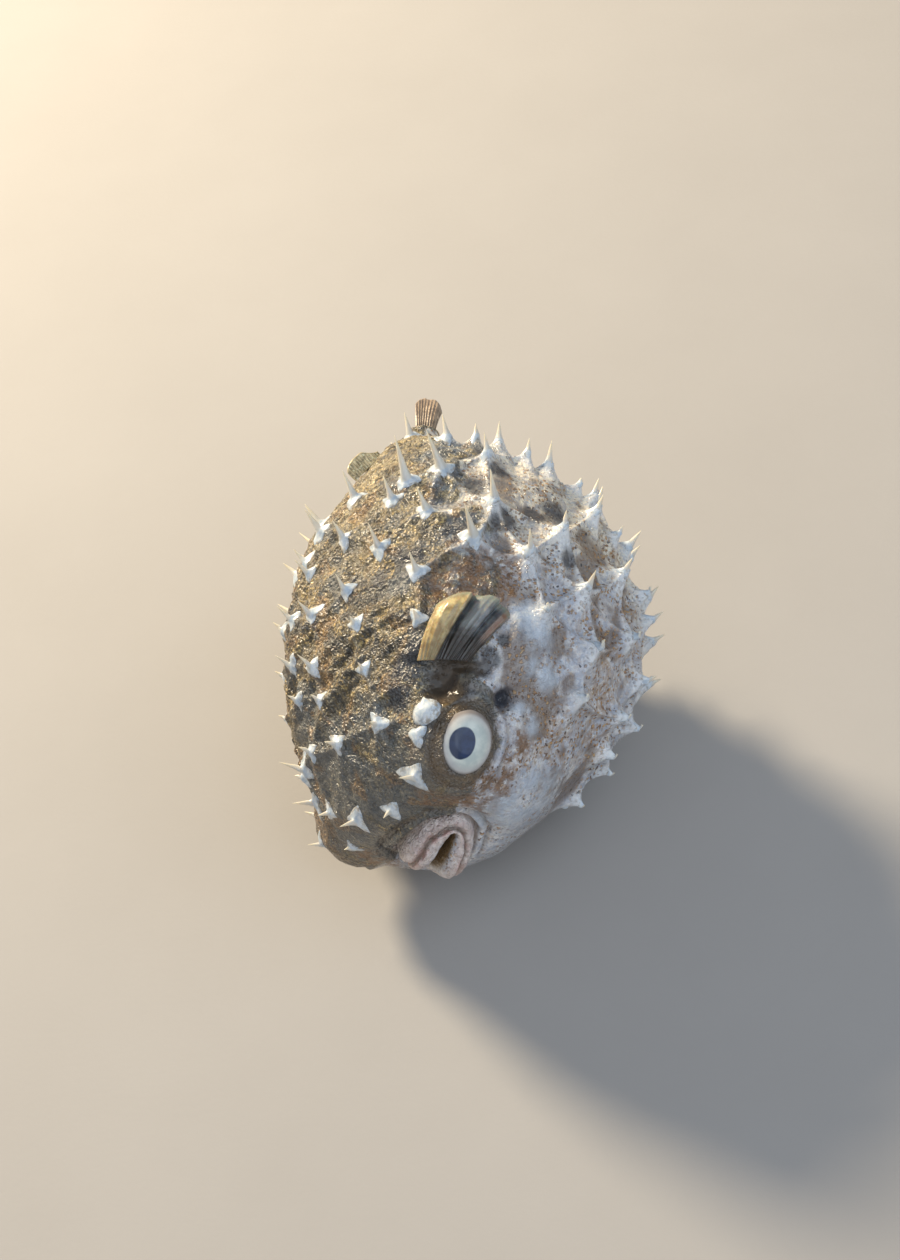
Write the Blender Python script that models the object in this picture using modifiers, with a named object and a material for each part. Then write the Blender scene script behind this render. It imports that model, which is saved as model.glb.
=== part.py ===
"""Porcupine pufferfish (a burrfish of the Diodontidae), inflated, lying on its right side.

Fish frame, in millimetres: x towards the snout, y to the fish's left, z to its back, origin at the middle of the inflated ball.
The finished object is in metres, +Z up, origin at the bottom centre of its box, snout towards -Y.
"""
import math

import bmesh
import bpy
import numpy as np
from mathutils import Matrix, Vector

MM = 0.001

# ---------------------------------------------------------------- driving sizes, in mm and degrees
PITCH = 10.1            # the snout points this far below level
ROLL = 55.2             # the fish is rolled on its right side, left side up
SAG = 2.75              # the soft body is flattened this much where it lies
SOFT = 1.0              # how gently the flat runs into the round
GAP = 0.3               # clearance between neighbouring solids

# Stations along the body, from inside the mouth to the end of the tail stalk:
# x, half width, top, bottom, height of the widest point, squareness of the section
STATIONS = np.array([
    (33.6, 0.05, 3.05, 2.95, 3.0, 2.0),     # back of the mouth
    (34.6, 4.0, 3.8, 2.2, 3.0, 2.0),
    (39.6, 6.8, 3.9, 2.0, 3.0, 2.0),
    (41.6, 7.6, 4.5, 1.3, 3.0, 2.0),        # inner edge of the lips
    (42.3, 8.2, 6.1, -0.3, 3.0, 2.0),       # crest of the lips
    (41.4, 8.8, 7.8, -1.7, 3.0, 2.0),
    (39.0, 9.6, 9.2, -2.6, 3.0, 2.0),       # groove behind the lips
    (37.8, 12.0, 12.0, -4.8, 3.3, 2.0),
    (35.8, 17.0, 16.2, -8.8, 4.0, 2.05),
    (32.2, 21.6, 20.4, -13.7, 4.4, 2.05),   # cheeks and eyes
    (26.5, 26.0, 25.2, -19.6, 4.2, 2.05),
    (19.0, 29.6, 29.2, -25.5, 3.2, 2.0),    # gill openings
    (10.0, 32.0, 32.4, -30.4, 1.8, 2.0),
    (0.0, 33.2, 33.9, -33.0, 0.0, 2.0),     # widest part of the ball
    (-10.0, 32.6, 33.6, -33.4, -0.5, 2.0),
    (-19.0, 30.0, 31.8, -30.6, 0.0, 2.0),
    (-26.5, 27.4, 29.0, -27.2, 0.8, 2.0),
    (-32.5, 23.0, 26.0, -21.4, 2.8, 2.0),   # dorsal and anal fins
    (-37.0, 17.4, 23.2, -12.6, 6.0, 2.0),
    (-40.0, 11.2, 21.2, -2.6, 10.0, 2.0),
    (-42.0, 6.8, 18.9, 5.4, 12.3, 2.0),     # tail stalk
    (-44.5, 4.4, 17.0, 9.0, 13.0, 2.0),
    (-46.5, 3.4, 16.2, 10.0, 13.2, 2.0),
])
LIP_SWEEP = 6.0         # how far the corners of the mouth sweep back

EYE_AT = (29.1, 24.3, 10.0)         # middle of the rim of the left eye
EYE_FACES = (0.42, 0.87, 0.0)        # the way it looks
EYE_LONG, EYE_HIGH = 6.1, 5.2        # eyeball, half its length and height
EYE_THICK = 3.6                      # half its thickness
EYE_SUNK = 1.5                       # its middle lies this deep behind the rim
ORBIT_FLAT, ORBIT_EDGE = 5.6, 10.6   # the skin is flat round the eye, and runs into the head out here

GILL_AT = (17.8, 28.6, 5.4)
HEAD_CUT_X = 20.9
TAIL_CUT_X = -40.6

# ---------------------------------------------------------------- spines
# Spines of the left side, row after row from the back to the belly: x, angle from the back, length
LEFT_SPINES = (
    (36.0, 22, 3.0), (33.0, 46, 3.8), (27.6, 48, 2.4), (24.2, 53, 3.0),                      # brow
    (25.2, 33, 2.2), (25.6, 10, 3.0), (18.4, 8, 2.4), (16.2, 31, 2.2),                       # crown
    (12.2, 8, 4.1), (2.4, 9, 3.9), (-7.9, 3, 3.7), (-17.0, 4, 5.4), (-26.0, 8, 5.2),         # back
    (7.9, 29, 2.2), (0.3, 24, 3.4), (-10.9, 21, 4.3), (-21.5, 19, 5.8),
    (8.9, 51, 2.6), (-0.2, 49, 4.4), (-6.9, 35, 4.9), (-17.7, 37, 4.8),
    (-13.4, 50, 5.1), (-21.7, 41, 9.0), (-24.1, 53, 8.2), (-37.4, 61, 4.7),
    (-7.4, 65, 7.1), (-17.2, 71, 6.0), (-30.1, 71, 4.3), (-37.1, 78, 3.5),                   # flank
    (4.4, 90, 2.2), (-6.4, 82, 5.0), (-13.4, 93, 4.3), (-35.6, 86, 5.0), (-33.5, 95, 3.9), (-32.3, 103, 5.4),
    (-2.7, 102, 4.5), (16.1, 115, 2.0), (6.9, 112, 2.9), (-10.4, 118, 4.1), (-23.0, 113, 4.2), (-30.2, 115, 2.2), (-27.8, 118, 4.6),
    (0.3, 127, 2.4), (-11.6, 135, 2.6), (-21.6, 125, 2.6), (-22.4, 137, 4.9), (-31.0, 136, 5.0),
    (24.0, 168, 1.8), (20.4, 150, 2.0), (12.7, 140, 2.0), (4.2, 143, 3.3), (-8.7, 143, 3.5),
    (-15.0, 149, 4.4), (-24.4, 152, 4.6), (-43.6, 30, 5.0),
)
BROW = 4                                # the first few have no twin: the right brow is a table of its own
RIGHT_SPINES_DIFFER = (-3.4, -2.0)      # the right side's other spines are staggered against the left's, in x and in angle
RIGHT_BROW = ((35.0, -8, 4.1), (31.4, -25, 2.8), (27.0, -39, 4.4), (35.0, -47, 2.0), (23.9, -24, 5.2), (30.0, -52, 3.0), (24.2, -58, 3.0))
MIDLINE_SPINES = ((17.0, 166, 2.0), (9.4, 158, 2.5), (-1.0, 162, 4.0), (-10.0, 161, 4.2), (-19.4, 166, 4.4), (-28.4, 168, 4.4))
SWEEP, LIFT = 0.6, 0.4                  # spines lean towards the tail, and from the flanks down also towards the back
SNOUT_SWEEP, SNOUT_X = 0.35, 24.0       # less on the snout, from here on
LIFT_FROM, LIFT_TO = 34.0, 48.0
ROOT_LONG, ROOT_SHORT = 2.3, 1.35    # a spine's three roots, and the hollows between them
NECK = 0.85             # radius of the spine above its roots
LEAST_APART = 2.6


# ---------------------------------------------------------------- the body as a function
def pchip(x, y, xi):
    """A smooth curve through the stations that does not overshoot."""
    h = np.diff(x)
    d = np.diff(y) / h
    m = np.zeros_like(y)
    same = np.sign(d[:-1]) * np.sign(d[1:]) > 0
    w1, w2 = 2 * h[1:] + h[:-1], h[1:] + 2 * h[:-1]
    with np.errstate(divide="ignore", invalid="ignore"):
        inner = (w1 + w2) / (w1 / d[:-1] + w2 / d[1:])
    m[1:-1] = np.where(same, inner, 0)
    m[0], m[-1] = d[0], d[-1]
    k = np.clip(np.searchsorted(x, xi, side="right") - 1, 0, len(x) - 2)
    t = (xi - x[k]) / h[k]
    return ((1 + 2 * t) * (1 - t) ** 2 * y[k] + t * (1 - t) ** 2 * h[k] * m[k]
            + t * t * (3 - 2 * t) * y[k + 1] + t * t * (t - 1) * h[k] * m[k + 1])


CHORD = np.concatenate([[0], np.cumsum(np.sqrt(((np.diff(STATIONS[:, :4], axis=0) * [1, 1, 0.7, 0.7]) ** 2).sum(1)))])
CHORD /= CHORD[-1]


def fish_axes():
    """Columns: where the fish's x, y and z axes point in the finished object."""
    p, r = math.radians(PITCH), math.radians(ROLL)
    ahead = np.array([0, -math.cos(p), -math.sin(p)])
    left0 = np.array([1.0, 0, 0])
    up0 = np.cross(ahead, left0)
    left = math.cos(r) * left0 + math.sin(r) * up0
    up = -math.sin(r) * left0 + math.cos(r) * up0
    return np.stack([ahead, left, up], 1)


AXES = fish_axes()
DOWN = -AXES[2]         # straight down, in the fish frame


def round_body(s, phi):
    """A point of the body before it lies on the floor: s runs from the mouth to the tail, phi round from the back over the left."""
    x, w, zt, zb, zc, n = [pchip(CHORD, STATIONS[:, i], s) for i in range(6)]
    sn, cs = np.sin(phi), np.cos(phi)
    e = 2 / n
    y = w * np.sign(sn) * np.abs(sn) ** e
    z = zc + np.where(cs > 0, zt - zc, zc - zb) * np.sign(cs) * np.abs(cs) ** e
    mouth = np.clip((x - 33) / 7, 0, 1) * np.exp(-(np.maximum(w - 8, 0) / 6) ** 2)
    x = x - LIP_SWEEP * (1 - np.exp(-(y / 7) ** 2)) * mouth
    p = np.stack([x, y, z], -1)
    for side in (1, -1):
        look = np.array(EYE_FACES) * [1, side, 1]
        look = look / np.linalg.norm(look)
        off = p - np.array(EYE_AT) * [1, side, 1]
        deep = off @ look
        wide = np.linalg.norm(off - deep[..., None] * look, axis=-1)
        t = np.clip((ORBIT_EDGE - wide) / (ORBIT_EDGE - ORBIT_FLAT), 0, 1)
        near = t * t * (3 - 2 * t) * (deep > -12)
        p = p - (deep * near)[..., None] * look
    return p


def lowest():
    s, phi = np.meshgrid(np.linspace(0.2, 1, 300), np.linspace(0, 2 * np.pi, 360), indexing="ij")
    return float((round_body(s, phi) @ DOWN).max())


FLOOR = lowest() - SAG  # distance from the fish's origin down to the floor


def settle(p):
    """Flattens what would go through the floor."""
    depth = p @ DOWN
    z = FLOOR - depth
    flat = np.where(z < -SOFT, 0, np.where(z > SOFT, z, (z + SOFT) ** 2 / (4 * SOFT)))
    return p + (z - flat)[..., None] * DOWN


def body(s, phi):
    return settle(round_body(np.asarray(s, float), np.asarray(phi, float)))


AXIS_S = np.linspace(CHORD[4], 1, 800)
AXIS_X = pchip(CHORD, STATIONS[:, 0], AXIS_S)


def at_x(x):
    """The station parameter whose section lies at x, on the outside of the body."""
    return float(np.interp(-x, -AXIS_X, AXIS_S))


def surface(x, deg):
    """Point and outward normal of the body at x and an angle from the back."""
    s, phi = at_x(x), math.radians(deg)
    a = 1e-3
    p = body(s, phi)
    ds = body(s + a, phi) - body(s - a, phi)
    dp = body(s, phi + a) - body(s, phi - a)
    n = np.cross(dp, ds)
    n /= np.linalg.norm(n)
    return p, (n if n @ (p - np.array([p[0] * 0.7, 0, 2])) > 0 else -n)


def world(p):
    """From the fish frame in mm to the lying fish in metres, floor at z = 0."""
    p = np.asarray(p, float) @ AXES.T
    p[..., 2] += FLOOR
    return p * MM


# ---------------------------------------------------------------- tools
def material(name, colour, rough, metal=0.0):
    m = bpy.data.materials.new(name)
    m.use_nodes = True
    shader = m.node_tree.nodes["Principled BSDF"]
    shader.inputs["Base Color"].default_value = (*colour, 1)
    shader.inputs["Roughness"].default_value = rough
    shader.inputs["Metallic"].default_value = metal
    return m


def new_object(name, bm, coll, mat=None, smooth=True):
    mesh = bpy.data.meshes.new(name)
    bm.to_mesh(mesh)
    bm.free()
    obj = bpy.data.objects.new(name, mesh)
    coll.objects.link(obj)
    if mat:
        mesh.materials.append(mat)
    if smooth:
        mesh.shade_smooth()
        mesh.set_sharp_from_angle(angle=math.radians(40))
    return obj


def apply_modifiers(obj):
    mesh = bpy.data.meshes.new_from_object(obj.evaluated_get(bpy.context.evaluated_depsgraph_get()))
    obj.modifiers.clear()
    obj.data = mesh


def boolean(obj, other, operation):
    m = obj.modifiers.new(operation.lower(), "BOOLEAN")
    m.operation = operation
    m.object = other
    m.solver = "EXACT"
    bpy.context.view_layer.update()
    apply_modifiers(obj)


def helper(obj):
    obj.hide_render = True
    obj.display_type = "WIRE"
    return obj


# ---------------------------------------------------------------- the parts
LOFT_S = np.concatenate([
    np.linspace(0.0, CHORD[3], 4)[:-1],
    np.linspace(CHORD[3], CHORD[6], 6)[:-1],
    np.linspace(CHORD[6], CHORD[9], 6)[:-1],
    np.linspace(CHORD[9], CHORD[18], 15)[:-1],
    np.linspace(CHORD[18], 1.0, 8),
])
ROUND = 32


def loft_body():
    """The whole body as one closed loft from the back of the mouth to the end of the tail stalk."""
    bm = bmesh.new()
    rings = []
    for s in LOFT_S:
        pts = world(body(np.full(ROUND, s), np.arange(ROUND) * 2 * np.pi / ROUND))
        rings.append([bm.verts.new(p) for p in pts])
    for a, b in zip(rings[:-1], rings[1:]):
        for i in range(ROUND):
            j = (i + 1) % ROUND
            bm.faces.new((a[i], a[j], b[j], b[i]))
    bm.faces.new(rings[0])
    bm.faces.new(rings[-1])
    bmesh.ops.recalc_face_normals(bm, faces=bm.faces)
    return bm


def all_spines():
    """(base, normal, direction, length) of every spine, in the fish frame."""
    dx, da = RIGHT_SPINES_DIFFER
    wanted = list(LEFT_SPINES + RIGHT_BROW)
    for x, deg, length in LEFT_SPINES[BROW:]:
        wanted.append((x + dx, -(deg + da), length))
    for x, deg, length in MIDLINE_SPINES:
        wanted.append((x, deg, length))
        if deg < 180:
            wanted.append((x + dx / 2, -deg, length))
    kept = []
    for x, deg, length in wanted:
        for cut in (HEAD_CUT_X, TAIL_CUT_X):              # roots keep clear of the cuts
            if abs(x - cut) < 2.9:
                x = cut + math.copysign(2.9, x - cut)
        if x < -45:
            continue
        p, n = surface(x, deg)
        near_fin = min(np.linalg.norm(p - np.array(FIN_ROOT) * [1, side, 1]) for side in (1, -1))
        if FLOOR - p @ DOWN < 1.8 or near_fin < FIN_BARE or any(np.linalg.norm(p - q[0]) < LEAST_APART for q in kept):
            continue                                      # under the body, under a pectoral fin, or too close together
        if abs(p[1]) < 4.0 and -42.0 < p[0] < -24:
            continue                                      # the dorsal and anal fins stand there
        sweep = SNOUT_SWEEP if x > SNOUT_X else SWEEP
        lift = LIFT * min(max((abs(deg) - LIFT_FROM) / (LIFT_TO - LIFT_FROM), 0.0), 1.0)
        d = n + sweep * np.array([-1.0, 0, 0]) + lift * (np.array([0, 0, 1.0]) - n * n[2])
        d /= np.linalg.norm(d)
        while FLOOR - (p + d * length) @ DOWN < 0.3:      # a spine next to the floor lies over
            d = d - 0.06 * DOWN
            d /= np.linalg.norm(d)
        kept.append((p, n, d, length))
    return kept


def apart(spines):
    """The spines in groups, so that no two roots of a group touch."""
    groups = []
    for s in spines:
        for g in groups:
            if all(np.linalg.norm(s[0] - q[0]) > 2.1 * ROOT_LONG for q in g):
                g.append(s)
                break
        else:
            groups.append([s])
    return groups


def spine_mesh(spines, name, coll):
    """Spines with three roots each: a flared foot sunk in the skin and a cone."""
    bm = bmesh.new()
    for p, n, d, length in spines:
        t = np.cross(n, [-1.0, 0.0, 0.0])
        t /= np.linalg.norm(t)
        b = np.cross(n, t)
        foot, neck = [], []
        for i in range(6):
            a = math.pi / 3 * i
            out = math.cos(a) * b + math.sin(a) * t
            r = ROOT_LONG if i % 2 == 0 else ROOT_SHORT
            foot.append(bm.verts.new(world(p - 0.7 * n + r * out)))
            neck.append(bm.verts.new(world(p + 0.22 * length * d + NECK * out)))
        tip = bm.verts.new(world(p + length * d))
        faces = [bm.faces.new(foot)]
        for i in range(6):
            j = (i + 1) % 6
            faces.append(bm.faces.new((foot[i], foot[j], neck[j], neck[i])))
            faces.append(bm.faces.new((neck[i], neck[j], tip)))
    bmesh.ops.recalc_face_normals(bm, faces=bm.faces)
    bmesh.ops.triangulate(bm, faces=bm.faces[:])
    return helper(new_object(name, bm, coll, smooth=False))


def ellipsoid(name, centre, axis, radii, coll, side=1, seg=20):
    """A closed ellipsoid: radii along axis, across it towards the snout, and across both."""
    bm = bmesh.new()
    bmesh.ops.create_uvsphere(bm, u_segments=seg, v_segments=seg // 2, radius=1.0)
    mirror = np.array([1, side, 1])
    a = np.array(axis) * mirror
    a = a / np.linalg.norm(a)
    ahead = np.array([1.0, 0, 0]) - a * a[0]
    ahead /= np.linalg.norm(ahead)
    local = np.stack([ahead, np.cross(a, ahead), a], 1) * [radii[1], radii[2], radii[0]]
    for v in bm.verts:
        v.co = world(np.array(centre) * mirror + local @ np.array(v.co))
    return new_object(name, bm, coll, smooth=True)


# ---------------------------------------------------------------- fins
FIN_THICK = 0.7
FIN_ROOT = (14.8, 26.9, 14.2)           # middle of the left pectoral fin's root
FIN_BARE = 8.0                          # no spines this close to it
PECTORAL_AHEAD = 1.3                    # the root lies this far ahead of it
PECTORAL_ROOT = (8.0, -1.5)             # the root's ends, towards the back and the belly
PECTORAL_RAYS = (10.2, 13.2, 10.4)      # lengths of the uppermost, middle and lowest rays
PECTORAL_LEAN = (-15.0, -31.0)          # the uppermost and lowest rays lean towards the belly, degrees
# three folds across the fin: share across, height of the fold, how far it leans towards the back
FOLDS = np.array([(0.00, 0.7, 0.0), (0.12, 2.2, 0.2), (0.24, 3.3, -0.3), (0.32, 3.0, -0.7), (0.38, 1.5, -0.3), (0.46, 0.9, 0.2),
                  (0.56, 2.1, -0.2), (0.67, 2.2, -0.4), (0.76, 1.1, 0.1), (0.86, 1.7, -0.2), (0.93, 1.6, -0.2), (1.00, 0.7, 0.0)])


def fan(rays, across, along, name, coll, mat, thick=FIN_THICK):
    """A fin: a sheet given by a function of (share across, share along the rays), thickened."""
    bm = bmesh.new()
    grid = [[bm.verts.new(world(rays(i / across, j / along))) for j in range(along + 1)] for i in range(across + 1)]
    for i in range(across):
        for j in range(along):
            bm.faces.new((grid[i][j], grid[i + 1][j], grid[i + 1][j + 1], grid[i][j + 1]))
    obj = new_object(name, bm, coll, mat)
    m = obj.modifiers.new("thickness", "SOLIDIFY")
    m.thickness = thick * MM
    m.offset = 0
    m.use_even_offset = False
    return obj


def pectoral(side):
    """A broad rounded fin laid back along the flank in three folds: u runs from its upper to its lower edge."""
    root = np.array(FIN_ROOT)
    deg = math.degrees(math.atan2(root[1], root[2] - 2.4))
    root, n = surface(root[0], deg)
    back = np.array([-1.0, 0, 0])
    back = back - n * (back @ n)
    back /= np.linalg.norm(back)
    dorsal = np.cross(n, back)
    dorsal = dorsal if dorsal[2] > 0 else -dorsal

    def ray(u, v):
        across = PECTORAL_ROOT[0] + (PECTORAL_ROOT[1] - PECTORAL_ROOT[0]) * u
        a = math.radians(PECTORAL_LEAN[0] + (PECTORAL_LEAN[1] - PECTORAL_LEAN[0]) * u)
        top, mid, low = PECTORAL_RAYS
        length = (top * (1 - u) * (1 - 2 * u) + 4 * mid * u * (1 - u) - low * u * (1 - 2 * u))
        skin, out = surface(root[0] + PECTORAL_AHEAD - length * v * math.cos(a) * 0.97,
                            deg - math.degrees((across + length * v * math.sin(a)) / 30.5))
        rise = min(1.0, max(0.0, (v + 0.1) / 0.85))
        rise = rise * rise * (3 - 2 * rise)
        at = np.array([u])
        p = skin + out * (0.85 + rise * pchip(FOLDS[:, 0], FOLDS[:, 1], at)[0]) + dorsal * rise * pchip(FOLDS[:, 0], FOLDS[:, 2], at)[0]
        return p * [1, side, 1]

    return ray


def median_fin(x0, x1, deg, height, lean, sideways):
    """A rounded fin on the midline: its root runs from x0 back to x1, its rays lean back, and it flops to one side."""
    def ray(u, v):
        p, n = surface(x0 + (x1 - x0) * u, deg)
        n = n * [1, 0, 1]
        n /= np.linalg.norm(n)
        tall = height * (0.42 + 0.58 * math.sin(math.pi * (0.10 + 0.80 * u) ** 0.8))
        d = n + np.array([-1.0, 0, 0]) * lean * (u - 0.2) + np.array([0, sideways * v, 0])
        d /= np.linalg.norm(d)
        q = p + n * 0.55 + d * tall * v
        return q
    return ray


CAUDAL_ROOT = (-46.9, 0.0, 13.1)
CAUDAL_LENGTH, CAUDAL_DROOP = 10.6, 0.45
CAUDAL_WIDE = (3.4, 5.8)                 # at the root and at the end: the fin is folded narrow


def caudal(u, v):
    """The tail fin: folded narrow, nearly square at its end, drooping a little."""
    spread = u - 0.5
    back = np.array([-1.0, 0, 0])
    bend = DOWN - back * (DOWN @ back)
    bend /= np.linalg.norm(bend)
    a = CAUDAL_DROOP * v
    length = CAUDAL_LENGTH * (1 - 0.25 * (2 * spread) ** 4)
    wide = CAUDAL_WIDE[0] + (CAUDAL_WIDE[1] - CAUDAL_WIDE[0]) * v
    p = np.array(CAUDAL_ROOT) + (back * math.sin(a) + bend * (1 - math.cos(a))) * length / CAUDAL_DROOP
    p[2] += spread * wide
    p[1] += 0.35 * math.sin(2 * math.pi * u) * v
    return p


def clear_scene():
    for o in list(bpy.data.objects):
        bpy.data.objects.remove(o, do_unlink=True)


def main():
    clear_scene()
    coll = bpy.data.collections.new("porcupine_pufferfish")
    cutters = bpy.data.collections.new("cutters")
    bpy.context.scene.collection.children.link(coll)
    bpy.context.scene.collection.children.link(cutters)

    skin_head = material("skin_head", (0.33, 0.29, 0.23), 0.45)
    skin_trunk = material("skin_trunk", (0.62, 0.62, 0.62), 0.45)
    skin_tail = material("skin_tail", (0.34, 0.28, 0.20), 0.45)
    fin_skin = material("fin_membrane", (0.42, 0.34, 0.20), 0.4)
    eye_mat = material("eye", (0.62, 0.70, 0.68), 0.15)

    spines = all_spines()
    pieces = (("head", HEAD_CUT_X + GAP / 2, None, skin_head),
              ("trunk", TAIL_CUT_X + GAP / 2, HEAD_CUT_X - GAP / 2, skin_trunk),
              ("tail_stalk", None, TAIL_CUT_X - GAP / 2, skin_tail))
    objects = []
    for name, low, high, mat in pieces:
        bm = loft_body()
        if low is not None:
            at, normal = low, -1
            cut_plane(bm, at, normal)
        if high is not None:
            cut_plane(bm, high, 1)
        bmesh.ops.triangulate(bm, faces=[f for f in bm.faces if len(f.verts) > 4])
        obj = new_object(name, bm, coll, mat)
        own = [s for s in spines if (low is None or s[0][0] > low) and (high is None or s[0][0] < high)]
        for i, group in enumerate(apart(own)):
            boolean(obj, spine_mesh(group, f"{name}_spines_{i}", cutters), "UNION")
        objects.append(obj)
    head, trunk, stalk = objects

    for side, word in ((1, "left"), (-1, "right")):
        look = np.array(EYE_FACES) / np.linalg.norm(EYE_FACES)
        centre = np.array(EYE_AT) - look * EYE_SUNK
        lens = (EYE_THICK, EYE_LONG, EYE_HIGH)
        hole = tuple(r + GAP for r in lens)
        boolean(head, helper(ellipsoid("socket_" + word, centre, look, hole, cutters, side, seg=18)), "DIFFERENCE")
        ellipsoid("eye_" + word, centre, look, lens, coll, side, seg=18).data.materials.append(eye_mat)
        p, n = surface(GILL_AT[0], math.degrees(math.atan2(GILL_AT[1], GILL_AT[2])))
        slit = ellipsoid("gill_" + word, p, np.cross(n, [1, 0, 0]), (2.6, 1.1, 2.0), cutters, side, seg=12)
        boolean(trunk, helper(slit), "DIFFERENCE")
        fan(pectoral(side), 12, 5, "pectoral_fin_" + word, coll, fin_skin)

    fan(median_fin(-32.0, -39.3, 0.0, 2.5, 0.5, 0.15), 8, 4, "dorsal_fin", coll, fin_skin, 1.0)
    fan(median_fin(-32.0, -37.0, 180.0, 4.6, 0.7, 0.2), 6, 4, "anal_fin", coll, fin_skin, 0.9)
    fan(caudal, 8, 5, "caudal_fin", coll, fin_skin, 0.8)

    for o in coll.objects:
        o.data.shade_smooth()
        o.data.set_sharp_from_angle(angle=math.radians(40))

    # the object's origin is at the bottom centre of its box
    graph = bpy.context.evaluated_depsgraph_get()
    bpy.context.view_layer.update()
    lo, hi = np.full(3, 1e9), np.full(3, -1e9)
    for o in coll.objects:
        e = o.evaluated_get(graph)
        co = np.array([e.matrix_world @ v.co for v in e.data.vertices])
        lo, hi = np.minimum(lo, co.min(0)), np.maximum(hi, co.max(0))
    shift = Vector((-(lo[0] + hi[0]) / 2, -(lo[1] + hi[1]) / 2, -lo[2]))
    for o in coll.objects:
        o.data.transform(Matrix.Translation(shift))
    print("spines", len(spines), "shift", tuple(shift), "box", (hi - lo) * 1000, "floor", FLOOR)


def cut_plane(bm, x, side):
    """Removes what lies beyond the plane across the body at x, on the given side, and caps the cut."""
    at = world(np.array([x, 0.0, 0.0]))
    normal = AXES[:, 0] * side
    bmesh.ops.bisect_plane(bm, geom=bm.verts[:] + bm.edges[:] + bm.faces[:], dist=1e-7,
                           plane_co=at, plane_no=normal, clear_inner=False, clear_outer=True)
    rim = [e for e in bm.edges if e.is_boundary]
    bmesh.ops.edgenet_fill(bm, edges=rim)
    bmesh.ops.recalc_face_normals(bm, faces=bm.faces)


main()
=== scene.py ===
"""Looks of the porcupine pufferfish: skin, spines, eyes, fins, floor, light and camera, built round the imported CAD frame.

Fish frame, in millimetres: x towards the snout, y to the fish's left, z to its back, origin at the middle of the inflated ball.
Everything is modelled there and then laid on its right side on the floor, as the CAD does it.
"""
import math

import bpy
import numpy as np
from mathutils import Matrix, Vector

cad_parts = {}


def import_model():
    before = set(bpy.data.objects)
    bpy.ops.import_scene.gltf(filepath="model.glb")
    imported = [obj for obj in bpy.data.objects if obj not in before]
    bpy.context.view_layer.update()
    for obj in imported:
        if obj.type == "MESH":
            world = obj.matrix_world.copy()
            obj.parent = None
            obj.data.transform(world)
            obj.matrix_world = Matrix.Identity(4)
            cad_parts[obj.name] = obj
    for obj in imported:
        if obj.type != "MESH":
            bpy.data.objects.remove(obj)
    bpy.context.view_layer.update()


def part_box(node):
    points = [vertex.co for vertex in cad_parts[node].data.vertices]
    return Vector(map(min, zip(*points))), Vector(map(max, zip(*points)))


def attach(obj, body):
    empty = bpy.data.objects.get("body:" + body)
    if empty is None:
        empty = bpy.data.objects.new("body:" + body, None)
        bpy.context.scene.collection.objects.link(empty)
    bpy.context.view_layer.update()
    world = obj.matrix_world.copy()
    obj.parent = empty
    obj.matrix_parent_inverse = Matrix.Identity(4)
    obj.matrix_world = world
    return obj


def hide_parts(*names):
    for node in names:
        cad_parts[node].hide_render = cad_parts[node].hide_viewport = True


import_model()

MM = 0.001

# ---------------------------------------------------------------- the body, as in the CAD
PITCH, ROLL, SAG, SOFT = 10.1, 55.2, 2.75, 1.0
STATIONS = np.array([
    (33.6, 0.05, 3.05, 2.95, 3.0, 2.0), (34.6, 4.0, 3.8, 2.2, 3.0, 2.0), (39.6, 6.8, 3.9, 2.0, 3.0, 2.0),
    (41.6, 7.6, 4.5, 1.3, 3.0, 2.0), (42.3, 8.2, 6.1, -0.3, 3.0, 2.0), (41.4, 8.8, 7.8, -1.7, 3.0, 2.0),
    (39.0, 9.6, 9.2, -2.6, 3.0, 2.0), (37.8, 12.0, 12.0, -4.8, 3.3, 2.0), (35.8, 17.0, 16.2, -8.8, 4.0, 2.05),
    (32.2, 21.6, 20.4, -13.7, 4.4, 2.05), (26.5, 26.0, 25.2, -19.6, 4.2, 2.05), (19.0, 29.6, 29.2, -25.5, 3.2, 2.0),
    (10.0, 32.0, 32.4, -30.4, 1.8, 2.0), (0.0, 33.2, 33.9, -33.0, 0.0, 2.0), (-10.0, 32.6, 33.6, -33.4, -0.5, 2.0),
    (-19.0, 30.0, 31.8, -30.6, 0.0, 2.0), (-26.5, 27.4, 29.0, -27.2, 0.8, 2.0), (-32.5, 23.0, 26.0, -21.4, 2.8, 2.0),
    (-37.0, 17.4, 23.2, -12.6, 6.0, 2.0), (-40.0, 11.2, 21.2, -2.6, 10.0, 2.0), (-42.0, 6.8, 18.9, 5.4, 12.3, 2.0),
    (-44.5, 4.4, 17.0, 9.0, 13.0, 2.0), (-46.5, 3.4, 16.2, 10.0, 13.2, 2.0),
])
LIP_SWEEP = 6.0
EYE_AT = np.array((29.1, 24.3, 10.0))
EYE_FACES = np.array((0.42, 0.87, 0.0))
EYE_LONG, EYE_HIGH, EYE_THICK, EYE_SUNK = 6.1, 5.2, 3.6, 1.5
PUPIL_OFF = (0.03, 0.24)               # forwards and towards the back, in eye radii
ORBIT_FLAT, ORBIT_EDGE = 5.6, 10.6
GILL_AT = (20.3, 85.0)               # x and the angle from the back
RECESS_AT = (19.4, 60.0)
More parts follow.
